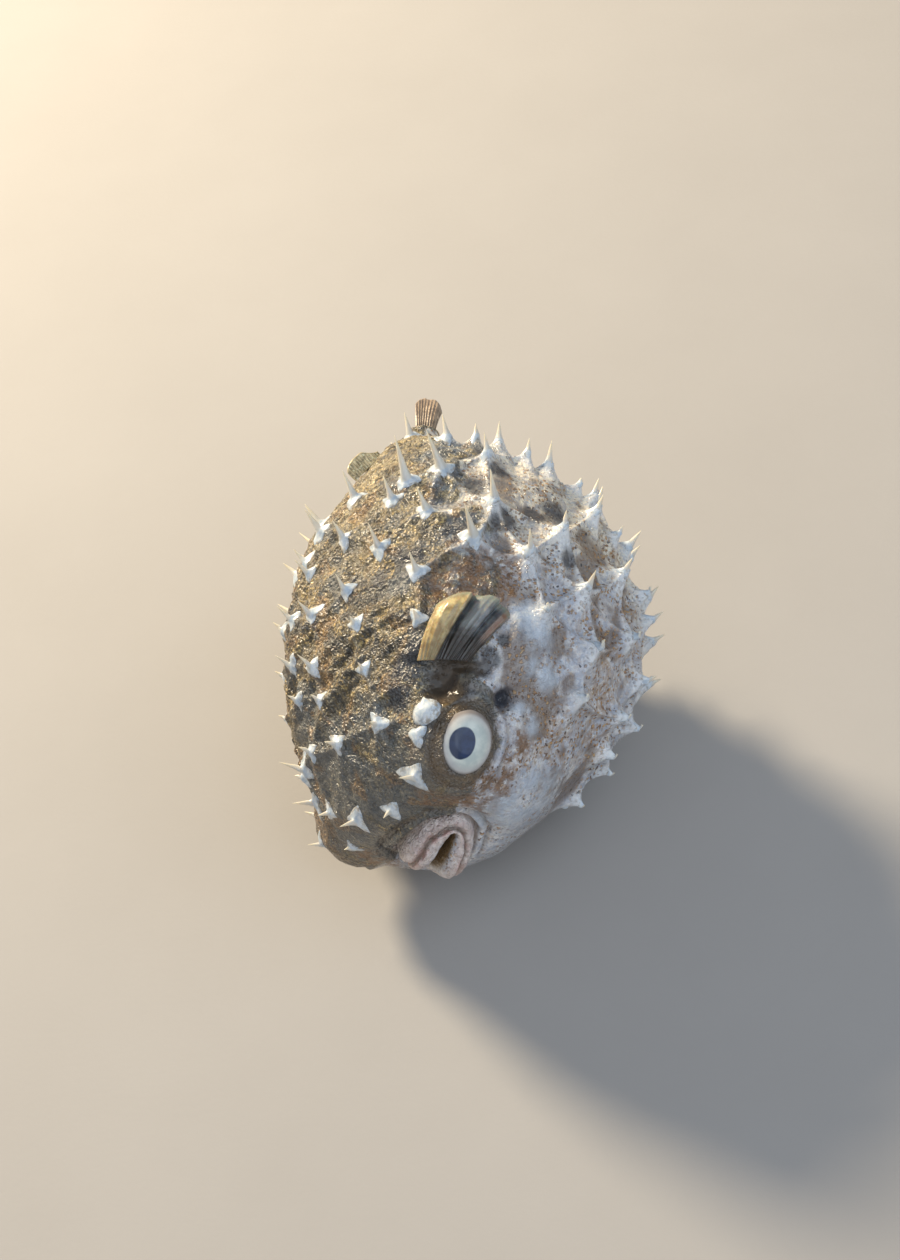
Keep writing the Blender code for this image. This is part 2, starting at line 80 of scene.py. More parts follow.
# soft shade round the hollow: x, angle, radius, depth of colour
SHADE = ((20.8, 64.5, 2.5, 0.80), (15.6, 68.0, 2.3, 0.55), (18.4, 70.0, 2.0, 0.46), (15.6, 76.0, 1.7, 0.34))
LEFT_SPINES = (
    (36.0, 22, 3.0), (33.0, 46, 3.8), (27.6, 48, 2.4), (24.2, 53, 3.0),
    (25.2, 33, 2.2), (25.6, 10, 3.0), (18.4, 8, 2.4), (16.2, 31, 2.2),
    (12.2, 8, 4.1), (2.4, 9, 3.9), (-7.9, 3, 3.7), (-17.0, 4, 5.4), (-26.0, 8, 5.2),
    (7.9, 29, 2.2), (0.3, 24, 3.4), (-10.9, 21, 4.3), (-21.5, 19, 5.8),
    (8.9, 51, 2.6), (-0.2, 49, 4.4), (-6.9, 35, 4.9), (-17.7, 37, 4.8),
    (-13.4, 50, 5.1), (-21.7, 41, 9.0), (-24.1, 53, 8.2), (-37.4, 61, 4.7),
    (-7.4, 65, 7.1), (-17.2, 71, 6.0), (-30.1, 71, 4.3), (-37.1, 78, 3.5),
    (4.4, 90, 2.2), (-6.4, 82, 5.0), (-13.4, 93, 4.3), (-35.6, 86, 5.0), (-33.5, 95, 3.9), (-32.3, 103, 5.4),
    (-2.7, 102, 4.5), (16.1, 115, 2.0), (6.9, 112, 2.9), (-10.4, 118, 4.1), (-23.0, 113, 4.2), (-30.2, 115, 2.2), (-27.8, 118, 4.6),
    (0.3, 127, 2.4), (-11.6, 135, 2.6), (-21.6, 125, 2.6), (-22.4, 137, 4.9), (-31.0, 136, 5.0),
    (24.0, 168, 1.8), (20.4, 150, 2.0), (12.7, 140, 2.0), (4.2, 143, 3.3), (-8.7, 143, 3.5),
    (-15.0, 149, 4.4), (-24.4, 152, 4.6), (-43.6, 30, 5.0),
)
BROW = 4
RIGHT_BROW = ((35.0, -8, 4.1), (31.4, -25, 2.8), (27.0, -39, 4.4), (35.0, -47, 2.0), (23.9, -24, 5.2), (30.0, -52, 3.0), (24.2, -58, 3.0))
RIGHT_SPINES_DIFFER = (-3.4, -2.0)
MIDLINE_SPINES = ((17.0, 166, 2.0), (9.4, 158, 2.5), (-1.0, 162, 4.0), (-10.0, 161, 4.2), (-19.4, 166, 4.4), (-28.4, 168, 4.4))
HEAD_CUT_X, TAIL_CUT_X = 20.9, -40.6
SWEEP, LIFT, LEAST_APART, FIN_BARE = 0.6, 0.4, 2.6, 8.0
SNOUT_SWEEP, SNOUT_X = 0.35, 24.0
LIFT_FROM, LIFT_TO = 34.0, 48.0
FIN_ROOT = np.array((14.8, 26.9, 14.2))
PECTORAL_ROOT, PECTORAL_RAYS, PECTORAL_LEAN, PECTORAL_AHEAD = (8.0, -1.5), (10.2, 13.2, 10.4), (-15.0, -31.0), 1.3


def pchip(x, y, xi):
    h = np.diff(x)
    d = np.diff(y) / h
    m = np.zeros_like(y)
    same = np.sign(d[:-1]) * np.sign(d[1:]) > 0
    w1, w2 = 2 * h[1:] + h[:-1], h[1:] + 2 * h[:-1]
    with np.errstate(divide="ignore", invalid="ignore"):
        inner = (w1 + w2) / (w1 / d[:-1] + w2 / d[1:])
    m[1:-1] = np.where(same, inner, 0)
    m[0], m[-1] = d[0], d[-1]
    k = np.clip(np.searchsorted(x, xi, side="right") - 1, 0, len(x) - 2)
    t = (xi - x[k]) / h[k]
    return ((1 + 2 * t) * (1 - t) ** 2 * y[k] + t * (1 - t) ** 2 * h[k] * m[k]
            + t * t * (3 - 2 * t) * y[k + 1] + t * t * (t - 1) * h[k] * m[k + 1])


CHORD = np.concatenate([[0], np.cumsum(np.sqrt(((np.diff(STATIONS[:, :4], axis=0) * [1, 1, 0.7, 0.7]) ** 2).sum(1)))])
CHORD /= CHORD[-1]


def fish_axes():
    p, r = math.radians(PITCH), math.radians(ROLL)
    ahead = np.array([0, -math.cos(p), -math.sin(p)])
    left0 = np.array([1.0, 0, 0])
    up0 = np.cross(ahead, left0)
    return np.stack([ahead, math.cos(r) * left0 + math.sin(r) * up0, -math.sin(r) * left0 + math.cos(r) * up0], 1)


AXES = fish_axes()
DOWN = -AXES[2]
LOOKS = {side: EYE_FACES * [1, side, 1] / np.linalg.norm(EYE_FACES) for side in (1, -1)}


def round_body(s, phi):
    x, w, zt, zb, zc, n = [pchip(CHORD, STATIONS[:, i], s) for i in range(6)]
    sn, cs = np.sin(phi), np.cos(phi)
    e = 2 / n
    y = w * np.sign(sn) * np.abs(sn) ** e
    z = zc + np.where(cs > 0, zt - zc, zc - zb) * np.sign(cs) * np.abs(cs) ** e
    mouth = np.clip((x - 33) / 7, 0, 1) * np.exp(-(np.maximum(w - 8, 0) / 6) ** 2)
    x = x - LIP_SWEEP * (1 - np.exp(-(y / 7) ** 2)) * mouth
    p = np.stack([x, y, z], -1)
    for side in (1, -1):
        look = LOOKS[side]
        off = p - EYE_AT * [1, side, 1]
        deep = off @ look
        wide = np.linalg.norm(off - deep[..., None] * look, axis=-1)
        t = np.clip((ORBIT_EDGE - wide) / (ORBIT_EDGE - ORBIT_FLAT), 0, 1)
        near = t * t * (3 - 2 * t) * (deep > -12)
        p = p - (deep * near)[..., None] * look
    return p


_s, _phi = np.meshgrid(np.linspace(0.2, 1, 300), np.linspace(0, 2 * np.pi, 360), indexing="ij")
FLOOR = float((round_body(_s, _phi) @ DOWN).max()) - SAG


def settle(p):
    z = FLOOR - p @ DOWN
    flat = np.where(z < -SOFT, 0, np.where(z > SOFT, z, (z + SOFT) ** 2 / (4 * SOFT)))
    return p + (z - flat)[..., None] * DOWN


def body(s, phi):
    return settle(round_body(np.asarray(s, float), np.asarray(phi, float)))


AXIS_S = np.linspace(CHORD[4], 1, 800)
AXIS_X = pchip(CHORD, STATIONS[:, 0], AXIS_S)


def surface(x, deg):
    s, phi = float(np.interp(-x, -AXIS_X, AXIS_S)), math.radians(deg)
    a = 1e-3
    p = body(s, phi)
    n = np.cross(body(s, phi + a) - body(s, phi - a), body(s + a, phi) - body(s - a, phi))
    n /= np.linalg.norm(n)
    return p, (n if n @ (p - np.array([p[0] * 0.7, 0, 2])) > 0 else -n)


# the CAD's own shift to the bottom centre of its box, read from where its left eye is
_lo, _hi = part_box("eye_left")
_eye = (EYE_AT - LOOKS[1] * EYE_SUNK) @ AXES.T
_eye[2] += FLOOR
SHIFT = (np.array(_lo) + np.array(_hi)) / 2 - _eye * MM


def world(p):
    p = np.asarray(p, float) @ AXES.T
    p[..., 2] += FLOOR
    return p * MM + SHIFT


def smooth(a, b, x):
    t = np.clip((x - a) / (b - a), 0, 1)
    return t * t * (3 - 2 * t)


# ---------------------------------------------------------------- noise for shapes
def noise(p, seed):
    """Smooth value noise between -1 and 1 at the points p."""
    table = np.random.default_rng(seed).random(65536) * 2 - 1
    i = np.floor(p).astype(np.int64)
    f = p - i
    f = f * f * f * (f * (f * 6 - 15) + 10)
    out = 0.0
    for cx in (0, 1):
        for cy in (0, 1):
            for cz in (0, 1):
                h = ((i[..., 0] + cx) * 73856093) ^ ((i[..., 1] + cy) * 19349663) ^ ((i[..., 2] + cz) * 83492791)
                w = ((f[..., 0] if cx else 1 - f[..., 0]) * (f[..., 1] if cy else 1 - f[..., 1])
                     * (f[..., 2] if cz else 1 - f[..., 2]))
                out = out + table[h & 65535] * w
    return out


def fbm(p, seed, octaves=3, gain=0.5):
    total, amp, norm = 0.0, 1.0, 0.0
    for k in range(octaves):
        total = total + amp * noise(p * 2.03**k + 17.1 * k, seed + k)
        norm += amp
        amp *= gain
    return total / norm


# ---------------------------------------------------------------- spines: places
def all_spines():
    dx, da = RIGHT_SPINES_DIFFER
    wanted = list(LEFT_SPINES + RIGHT_BROW)
    for x, deg, length in LEFT_SPINES[BROW:]:
        wanted.append((x + dx, -(deg + da), length))
    for x, deg, length in MIDLINE_SPINES:
        wanted.append((x, deg, length))
        if deg < 180:
            wanted.append((x + dx / 2, -deg, length))
    kept = []
    for x, deg, length in wanted:
        for cut in (HEAD_CUT_X, TAIL_CUT_X):
            if abs(x - cut) < 2.9:
                x = cut + math.copysign(2.9, x - cut)
        if x < -45:
            continue
        p, n = surface(x, deg)
        near_fin = min(np.linalg.norm(p - FIN_ROOT * [1, side, 1]) for side in (1, -1))
        if FLOOR - p @ DOWN < 1.8 or near_fin < FIN_BARE or any(np.linalg.norm(p - q[0]) < LEAST_APART for q in kept):
            continue
        if abs(p[1]) < 4.0 and -42.0 < p[0] < -24:
            continue
        sweep = SNOUT_SWEEP if x > SNOUT_X else SWEEP
        lift = LIFT * min(max((abs(deg) - LIFT_FROM) / (LIFT_TO - LIFT_FROM), 0.0), 1.0)
        d = n + sweep * np.array([-1.0, 0, 0]) + lift * (np.array([0, 0, 1.0]) - n * n[2])
        d /= np.linalg.norm(d)
        while FLOOR - (p + d * length) @ DOWN < 0.3:
            d = d - 0.06 * DOWN
            d /= np.linalg.norm(d)
        kept.append((p, n, d, length, x, deg))
    return kept


SPINES = all_spines()
SP = np.array([s[0] for s in SPINES])
SN = np.array([s[1] for s in SPINES])
SD = np.array([s[2] for s in SPINES])
SL = np.array([s[3] for s in SPINES])
SDEG = np.array([s[5] for s in SPINES])


def neighbours():
    """Pairs of spines with no third one between them: the skin is pulled up into a ridge along each."""
    d = np.linalg.norm(SP[:, None] - SP[None], axis=2)
    pairs = []
    for i in range(len(SP)):
        for j in range(i + 1, len(SP)):
            if d[i, j] > 15.5:
                continue
            mid = (SP[i] + SP[j]) / 2
            r = np.linalg.norm(SP - mid, axis=1)
            r[[i, j]] = 1e9
            if r.min() > d[i, j] / 2 * 0.97:
                pairs.append((i, j))
    return np.array(pairs)


PAIRS = neighbours()

# the border between brown back and white belly: x and the angle from the back
BORDER = np.array([(45, 74), (36, 78), (31, 84), (28, 88), (22, 87), (20.2, 84), (18.4, 77), (15, 76), (12, 78), (6, 76), (0, 76), (-5, 72), (-10, 66),
                   (-20, 64), (-30, 66), (-50, 70)], float)[::-1]
# dark blotches with painted shade below the pectoral fins and beside the eyes, rusty patches, milky patches: x, angle,
# radius in mm
DARK_AND_SHADE = ((-9.6, 59, 3.0), (-14.0, 73, 3.6), (-18.0, 86, 3.0), (-20.7, 95, 4.2), (-21.8, 64, 3.0), (-4.5, 45, 3.4), (-9.1, 97, 2.4),
        (-28.2, 74, 2.6), (-34.2, 76, 2.6), (19.6, 60, 3.4), (22.5, 56, 2.6), (20.8, 70, 2.2), (11.0, 58, 2.6), (17.0, 46, 3.2), (21.5, 43, 3.0), (14.0, 50, 2.2),
        (26.5, 66, 2.4), (-1.0, 36, 2.4), (27.0, 55, 1.9), (30.0, 53, 2.0), (32.0, 60, 2.0), (14.2, 77, 2.4), (16.6, 75, 2.0), (11.0, 80, 1.6))
RUST = ((36.0, 104, 2.8), (33.2, 102, 2.2), (26.0, 100, 1.8), (33.0, 92, 3.4), (36.0, 84, 3.0), (36.6, 96, 2.6), (29.0, 97, 2.0), (5.1, 57, 3.0), (2.6, 57, 4.4), (0.1, 66, 4.6), (-3.6, 76, 3.8), (1.0, 76, 2.6), (36.1, 72, 3.0), (35.9, 56, 3.4), (37.0, 100, 2.6), (30.6, 66, 2.4),
        (27.0, 104, 2.6), (-6.3, 64, 3.2), (-3.6, 67, 3.6), (-1.5, 60, 3.0), (34.2, 105, 2.4), (31.6, 103, 1.9))
MILK = ((35.5, 122, 7.0), (31.0, 131, 7.0), (38.0, 114, 4.0), (5.5, 84, 4.0), (9.6, 91, 4.4), (14.0, 92, 3.0), (22.0, 96, 2.4), (15.0, 100, 3.0), (24.0, 102, 2.6))

TAN = ((36.4, 110, 3.8), (33.4, 99, 3.2), (24.2, 117, 4.6), (20.0, 106, 3.4), (12.7, 128, 4.6), (1.3, 108, 3.6), (5.0, 120, 4.2),
       (-14.0, 108, 3.4), (-7.0, 126, 4.4), (27.5, 134, 3.6), (18.5, 140, 4.4), (-1.5, 136, 4.0), (-18.0, 122, 4.2), (29.5, 108, 2.6))


def blotches(p, table, stretch=1.0):
    out = np.zeros(p.shape[:-1])
    for x, deg, r in table:
        for side in (1, -1):
            c, n = surface(x, deg * side)
            out = np.maximum(out, np.exp(-(((p - c) ** 2).sum(-1)) / (r * r * stretch)))
    return out


# ---------------------------------------------------------------- the skin
COLS = 560
ROW_STEP = 0.42


def skin_rows():
    s = np.linspace(0, 1, 4001)
    phi = np.arange(24) * np.pi / 12
    pts = round_body(*np.meshgrid(s, phi, indexing="ij"))
    step = np.linalg.norm(np.diff(pts, axis=0), axis=2).max(1) * (1 + 0.9 * smooth(CHORD[9], CHORD[8], s[1:]))
    run = np.concatenate([[0], np.cumsum(step)])
    count = int(run[-1] / ROW_STEP)
    return np.interp(np.linspace(0, run[-1], count), run, s)


def build_skin():
    s = skin_rows()
    phi = np.arange(COLS) * 2 * np.pi / COLS
    S, PHI = np.meshgrid(s, phi, indexing="ij")
    P = body(S, PHI)
    # the stalk's end closes round the root of the tail fin
    caps = []
    for t in (0.35, 0.62, 0.82, 0.94, 1.0):
        c = np.array([P[-1, :, 0].mean(), 0, P[-1, :, 2].mean()])
        caps.append((P[-1] - c) * math.sqrt(max(1 - t * t, 0.0004)) + c + np.array([-1.5 * t, 0, 0]))
    dp = np.roll(P, -1, 1) - np.roll(P, 1, 1)
    ds = np.gradient(P, axis=0)
    N = np.cross(dp, ds)
    N /= np.linalg.norm(N, axis=2)[..., None] + 1e-12
    inner = S < CHORD[3]
    if (N[len(s) // 2] * (P[len(s) // 2] - [0, 0, 2])).sum() < 0:
        N = -N
    X = P[..., 0]
    deg = np.degrees(np.where(PHI > np.pi, 2 * np.pi - PHI, PHI))
    height = FLOOR - P @ DOWN
    on_floor = smooth(0.2, 5.0, height)
    mouth_side = smooth(36.5, 33.0, X)              # 0 near the mouth
    outside = (S > CHORD[6]).astype(float) * smooth(CHORD[6], CHORD[7], S)

    # every spine holds the skin up in a tent that runs on forwards as a ridge; catenary webs join neighbours
    flat = P.reshape(-1, 3)
    near = np.full(len(flat), 1e9)
    pull = np.zeros_like(flat)
    root = np.zeros(len(flat))
    tents = np.zeros(len(flat))
    for k in range(len(SP)):
        sel = np.where(np.abs(flat - SP[k]).max(1) < 11.0)[0]
        v = flat[sel] - SP[k]
        tang = v - (v @ SN[k])[:, None] * SN[k]
        fwd = np.array([1.0, 0, 0]) - SN[k] * SN[k][0]
        fwd /= np.linalg.norm(fwd)
        a, b = tang @ fwd, tang @ np.cross(SN[k], fwd)
        r = np.hypot(a, b)
        near[sel] = np.minimum(near[sel], r)
        belly = smooth(45, 90, abs(SDEG[k]))
        size = min(1.15, 0.55 + SL[k] / 9.0)
        stretch = np.where(a > 0, 1.15 + 1.05 * belly, 1.0)
        r_long = np.hypot(a / stretch, b)
        t = np.exp(-(r_long / ((1.15 + 1.05 * belly) * size)) ** 1.15)
        tents[sel] = np.maximum(tents[sel], t * (0.7 + 0.3 * belly))
        pull[sel] += (tent_height(k) * np.exp(-(r / (0.90 + 0.30 * belly)) ** 1.3))[:, None] * SD[k]
        root[sel] = np.maximum(root[sel], np.exp(-(r / (1.5 + 0.5 * belly)) ** 2))
    webs = np.zeros(len(flat))
    dist = np.full(len(flat), 9.0)
    for i, j in PAIRS:
        a, b = SP[i], SP[j]
        mid, half = (a + b) / 2, np.linalg.norm(b - a) / 2
        sel = np.where(((flat - mid) ** 2).sum(1) < (half + 5.5) ** 2)[0]
        v = flat[sel] - a
        ab = b - a
        t = np.clip(v @ ab / (ab @ ab), 0, 1)
        n = SN[i] + SN[j]
        n /= np.linalg.norm(n)
        side = np.cross(ab, n)
        side /= np.linalg.norm(side)
        sway = 0.9 * math.sin(i * 12.9 + j * 78.2)
        off = flat[sel] - (a + t[:, None] * ab) - np.outer(np.sin(np.pi * t) * sway, side)
        off -= np.outer(off @ n, n)
        d = np.linalg.norm(off, axis=1)
        dist[sel] = np.minimum(dist[sel], d)
        strong = 0.35 + 0.65 * (0.5 + 0.5 * math.sin(i * 3.7 + j * 5.3))
        hang = 0.22 + 0.30 * strong + 0.48 * np.abs(2 * t - 1) ** 1.5
        webs[sel] = np.maximum(webs[sel], hang * np.exp(-(d / (0.80 + 0.35 * np.abs(2 * t - 1))) ** 1.35) * min(1, 11.0 / (2 * half)))
    shape = X.shape
    near, dist, root = near.reshape(shape), dist.reshape(shape), root.reshape(shape)
    tents, webs, pull = tents.reshape(shape), webs.reshape(shape), pull.reshape(P.shape)
    web = (tents**4 + webs**4) ** 0.25
    ridge = np.clip(web, 0, 1)

    # colour masks
    border = np.interp(X, BORDER[:, 0], BORDER[:, 1])
    ragged = fbm(P / 7.0, 5, 4) * (10 + 16 * smooth(8, -6, X))
    back = smooth(-6, 6, border + ragged - deg)
    back *= smooth(-2.0, 1.0, P[..., 2] + (34.0 - X) * 1.5 + 1)      # the lower lip and chin are white
    # dark blotches, partly painted shade below the pectoral fins and beside the eyes
    dark = blotches(P, DARK_AND_SHADE) * (0.85 + 0.4 * fbm(P / 3.0, 9, 3))
    rust = blotches(P, RUST) * (0.85 + 0.5 * fbm(P / 2.5, 12, 3))
    milk = blotches(P, MILK) * np.clip(0.75 + 1.1 * fbm(P / 3.4, 16, 4), 0, 1.2)
    tan = blotches(P, TAN) * (0.9 + 0.6 * fbm(P / 3.0, 14, 3))
    slate = np.exp(-((deg - border + 4) / 16.0) ** 2) * smooth(2, -8, X) * smooth(-44, -36, X)

    veil = smooth(-34, -6, deg - border) * smooth(24, 12, X) * smooth(-46, -40, X) * np.clip(0.75 + 0.9 * fbm(P / 5.5, 19, 3), 0, 1)
    # the skin between spines hangs in hollows
    belly = smooth(48, 88, deg)
    rear = smooth(36.0, 24.0, X) * smooth(-45, -38, X)
    force = (0.40 + 0.60 * belly) * (0.16 + 0.84 * rear) * outside * on_floor * (1 - 0.25 * np.clip(milk, 0, 1))
    fin_zone = np.exp(-np.minimum(((P - FIN_ROOT) ** 2).sum(-1), ((P - FIN_ROOT * [1, -1, 1]) ** 2).sum(-1)) / 7.5**2)
    eye_zone = np.zeros(shape)
    for side in (1, -1):
        eye_zone = np.maximum(eye_zone, np.exp(-((P - EYE_AT * [1, side, 1]) ** 2).sum(-1) / 8.5**2))
    force = force * (1 - 0.85 * fin_zone) * (1 - 0.92 * eye_zone)
    deep = 3.2 + 0.8 * fbm(P / 9.0, 31, 2)
    hollow = deep * force * (web - 0.80)
    pit = force * np.clip(1 - web * 1.6, 0, 1)
    # folds and small wrinkles
    diag = P @ np.array([[0.55, 0.30, 0.10], [0.10, 0.45, 0.55], [0.62, -0.20, 0.35]]).T
    folds = 1 - 2 * np.abs(fbm(diag / np.array([2.0, 6.0, 6.0]), 41, 3))
    lumps = fbm(P / 3.2, 45, 3)
    wrinkles = fbm(P / 1.25, 51, 2)
    wet_back = back * outside * (1 - 0.75 * eye_zone) * smooth(40, 34, X)
    swirl = 1 - 2.4 * np.abs(fbm(diag / np.array([4.2, 11.0, 11.0]), 43, 2))
    fine = (0.70 * swirl + 0.50 * folds + 0.50 * lumps + 0.26 * wrinkles) * wet_back * (1 - 0.6 * root) * (1 - 0.6 * np.clip(rust, 0, 1)) * (1 - 0.35 * smooth(14, 30, X))
    fine += (0.10 * fbm(P / 1.7, 61, 3) + 0.14 * (1 - 2 * np.abs(fbm(P / 4.5, 66, 3)))) * (1 - back) * outside * (0.3 + 0.7 * rear) * (1 - 0.5 * root)
    lump = 0.40 * fbm(P / 7.0, 71, 2) * outside * on_floor
    D = hollow + (fine + lump) * smooth(0.0, 3.0, height)
    for side in (1, -1):
        smoothed = ((P - surface(RECESS_AT[0], RECESS_AT[1] * side)[0]) ** 2).sum(-1)
        D = D - fine * smooth(0.0, 3.0, height) * 0.92 * np.exp(-smoothed / 5.2**2)
    Q = P + N * D[..., None] + pull * (outside * on_floor)[..., None]

    # the pectoral fins stand in a hollow behind the gill openings, with loose folds below them
    gill = np.zeros(shape)
    recess = np.zeros(shape)
    slick = np.zeros(shape)
    for side in (1, -1):
        c, n = surface(FIN_ROOT[0], math.degrees(math.atan2(FIN_ROOT[1], FIN_ROOT[2] - 2.4)) * side)
        fwd = np.array([1.0, 0, 0]) - n * n[0]
        fwd /= np.linalg.norm(fwd)
        up = np.cross(fwd, n) * -side
        up = up if up[2] > 0 else -up
        v = P - c
        front = v @ n > -7
        a, b = v @ fwd, v @ up
        h = v - (surface(RECESS_AT[0], RECESS_AT[1] * side)[0] - c)
        ha, hb = h @ fwd, h @ up
        bowl = np.exp(-(ha / 2.8) ** 2 - (hb / 3.2) ** 2) * front
        Q -= N * (2.3 * bowl + 1.7 * np.exp(-((a - 1.5) / 1.8) ** 2 - (b / 5.4) ** 2) * front)[..., None]
        calm = 1 - 0.9 * np.exp(-((P - surface(SHADE[0][0], SHADE[0][1] * side)[0]) ** 2).sum(-1) / 2.8**2)
        below = calm * np.exp(-((a + 5.0) / 4.5) ** 2 - ((b + 9.6) / 1.5) ** 2) * front
        Q += N * (1.1 * below)[..., None]
        below2 = calm * np.exp(-((a + 0.5) / 4.5) ** 2 - ((b + 11.5 - a * 0.25) / 1.1) ** 2) * front
        Q += N * (0.7 * below2)[..., None]
        edge = 1.0 * fbm(P / 2.4, 97, 2)
        recess = np.maximum(recess, np.exp(-((ha + edge) / 2.7) ** 2 - ((hb + edge) / 3.0) ** 2) * front)
        recess = np.maximum(recess, 0.85 * np.exp(-((a - 1.9 + edge) / 1.7) ** 2 - ((b - 0.5) / 5.6) ** 2) * front)
        recess = np.maximum(recess, 0.62 * np.exp(-((ha - 1.8 + 0.5 * hb + edge) / 1.9) ** 2 - ((hb + 4.6) / 4.4) ** 2) * front)
        for x, deg, r, deep in SHADE:
            away = ((P - surface(x, deg * side)[0]) ** 2).sum(-1) ** 0.5
            recess = np.maximum(recess, deep * np.exp(-((away + 0.6 * edge) / r) ** 2))
        g = v - (surface(GILL_AT[0], GILL_AT[1] * side)[0] - c)
        ga, gb = g @ fwd, g @ up
        ga, gb = ga + 0.30 * gb, gb - 0.30 * ga
        gb = gb + 1.0
        wide = 2.2 + 0.35 * fbm(P / 1.8, 98, 2)
        slit = np.exp(-((ga - 0.5) / (1.35 * wide)) ** 2 - ((gb - 0.12 * ga) / (0.95 * wide)) ** 2) * front
        Q -= N * (3.0 * slit**1.3)[..., None]
        # loose folds fan out from the fin's foot towards the belly
        fan = np.arctan2(b + 2.0, -(a - 6.0))
        fans = np.cos(9.0 * fan + 2.0 * fbm(P / 5.0, 99, 2)) * np.exp(-((a - 1.0) / 4.5) ** 2 - ((b + 9.5) / 3.6) ** 2) * front
        Q += N * (0.50 * fans)[..., None]
        gill = np.maximum(gill, slit)
        slick = np.maximum(slick, np.clip(1.3 * bowl + 1.2 * np.exp(-(ha / 4.5) ** 2 - ((hb + 4.0) / 7.0) ** 2), 0, 1) * front)

    # eye sockets: the lids stand up round the eyeball and the skin dips under it
    rim = np.zeros(shape)
    rim_fold = np.zeros(shape)
    for side in (1, -1):
        look = LOOKS[side]
        ahead = np.array([1.0, 0, 0]) - look * look[0]
        ahead /= np.linalg.norm(ahead)
        high = np.cross(look, ahead) * -side
        off = P - EYE_AT * [1, side, 1]
        deep = off @ look
        ea, eb = off @ ahead, off @ high
        r = np.sqrt((ea / EYE_LONG) ** 2 + (eb / (0.94 * EYE_HIGH)) ** 2)
        r = np.where(deep < -10, 9, r)
        sink = smooth(0.880, 0.73, r)
        dorsal = smooth(-3, 3, eb)
        lid = (0.50 + 0.25 * dorsal) * np.exp(-(np.maximum(r - 0.92, 0) / 0.15) ** 2) * smooth(0.78, 0.89, r)
        fold = (-0.50 * np.exp(-((r - 1.24) / 0.08) ** 2) + 0.45 * np.exp(-((r - 1.44) / 0.11) ** 2)
                - 0.16 * np.exp(-((r - 1.64) / 0.09) ** 2))
        fold = fold * (0.65 + 0.5 * fbm(P / 4.0, 88, 2))
        Q += look * ((lid + fold) * (r < 3) - 4.2 * sink)[..., None]
        brown = np.exp(-((r - 1.00) / 0.13) ** 2)
        # on the back's side of the eye the brown widens: partly the lid's own brown, partly painted shade under the
        # brow
        brown = np.maximum(brown, np.exp(-((r - 1.15) / 0.24) ** 2) * smooth(-1.0, 4.0, eb) * (r < 3))
        rim = np.maximum(rim, brown)
        rim_fold = np.maximum(rim_fold, (0.7 * np.exp(-((r - 1.24) / 0.08) ** 2) + 0.5 * np.exp(-((r - 1.64) / 0.09) ** 2)) * (r < 3))

    # lips: soft folds running out from the mouth
    lip = smooth(CHORD[2] + 0.3 * (CHORD[3] - CHORD[2]), CHORD[3], S) * smooth(CHORD[6] + 0.4 * (CHORD[7] - CHORD[6]), CHORD[5], S)
    inside = smooth(CHORD[3], CHORD[2] + 0.2 * (CHORD[3] - CHORD[2]), S)
    crease = fbm(np.stack([np.sin(PHI) * 5.5, np.cos(PHI) * 5.5, S * 40], -1), 81, 3)
    Q += N * (0.16 * crease * lip)[..., None]
    # the upper lip lies in soft rolls that run round the mouth, the lower lip is one smooth band
    over, under = pchip(CHORD, STATIONS[:, 2], S), pchip(CHORD, STATIONS[:, 3], S)
    wob = 0.45 * fbm(P / 2.6, 83, 2)
    upper = smooth(100, 84, deg) * smooth(CHORD[3], CHORD[4], S)
    lower = smooth(84, 100, deg) * smooth(CHORD[3], CHORD[4], S)
    h = over + wob
    grooves_up = [np.exp(-((h - at) / wide) ** 2) for at, wide in ((7.3, 0.40), (9.7, 0.50), (12.3, 0.55))]
    rolls = upper * (-1.0 * grooves_up[0] - 0.85 * grooves_up[1] - 0.6 * grooves_up[2]
                     + 0.35 * np.exp(-((h - 8.5) / 0.8) ** 2) + 0.40 * np.exp(-((h - 11.0) / 0.8) ** 2))
    g = under + 0.4 * wob
    rolls += lower * (-0.9 * np.exp(-((g + 3.1) / 0.45) ** 2) + 0.35 * np.exp(-((g + 0.9) / 0.8) ** 2) + 0.3 * np.exp(-((g + 4.1) / 0.5) ** 2))
    Q += N * rolls[..., None]
    crease_up = np.maximum(np.maximum(grooves_up[0], 0.8 * grooves_up[1]), 0.6 * grooves_up[2]) * upper
    groove = np.maximum(crease_up, 0.9 * np.exp(-((g + 3.1) / 0.40) ** 2) * lower)
    lip = np.maximum(smooth(CHORD[3] - 0.01, CHORD[4], S) * smooth(13.6, 11.6, h) * smooth(-3.6, -2.8, g), 0) * smooth(CHORD[8], CHORD[7], S)
    pink = np.exp(-((h - 7.1) / 0.8) ** 2) * upper + 0.8 * np.exp(-((g + 0.2) / 0.7) ** 2) * lower
    # round the eye the skin lies in a few rings
    groove = np.maximum(groove, rim_fold)

    W = world(Q)
    W[..., 2] = np.maximum(W[..., 2], 0.0)
    capW = [np.maximum(world(c), [-9, -9, 0.0]) for c in caps]

    rows, cols = shape
    verts = np.concatenate([W.reshape(-1, 3)] + capW + [world(body(np.zeros(1), np.zeros(1)))])
    verts[-1] = W[0].mean(0)
    total_rows = rows + len(caps)
    i, j = np.meshgrid(np.arange(total_rows - 1), np.arange(cols), indexing="ij")
    a, b = i * cols + j, i * cols + (j + 1) % cols
    quads = np.stack([a, b, b + cols, a + cols], -1).reshape(-1, 4)
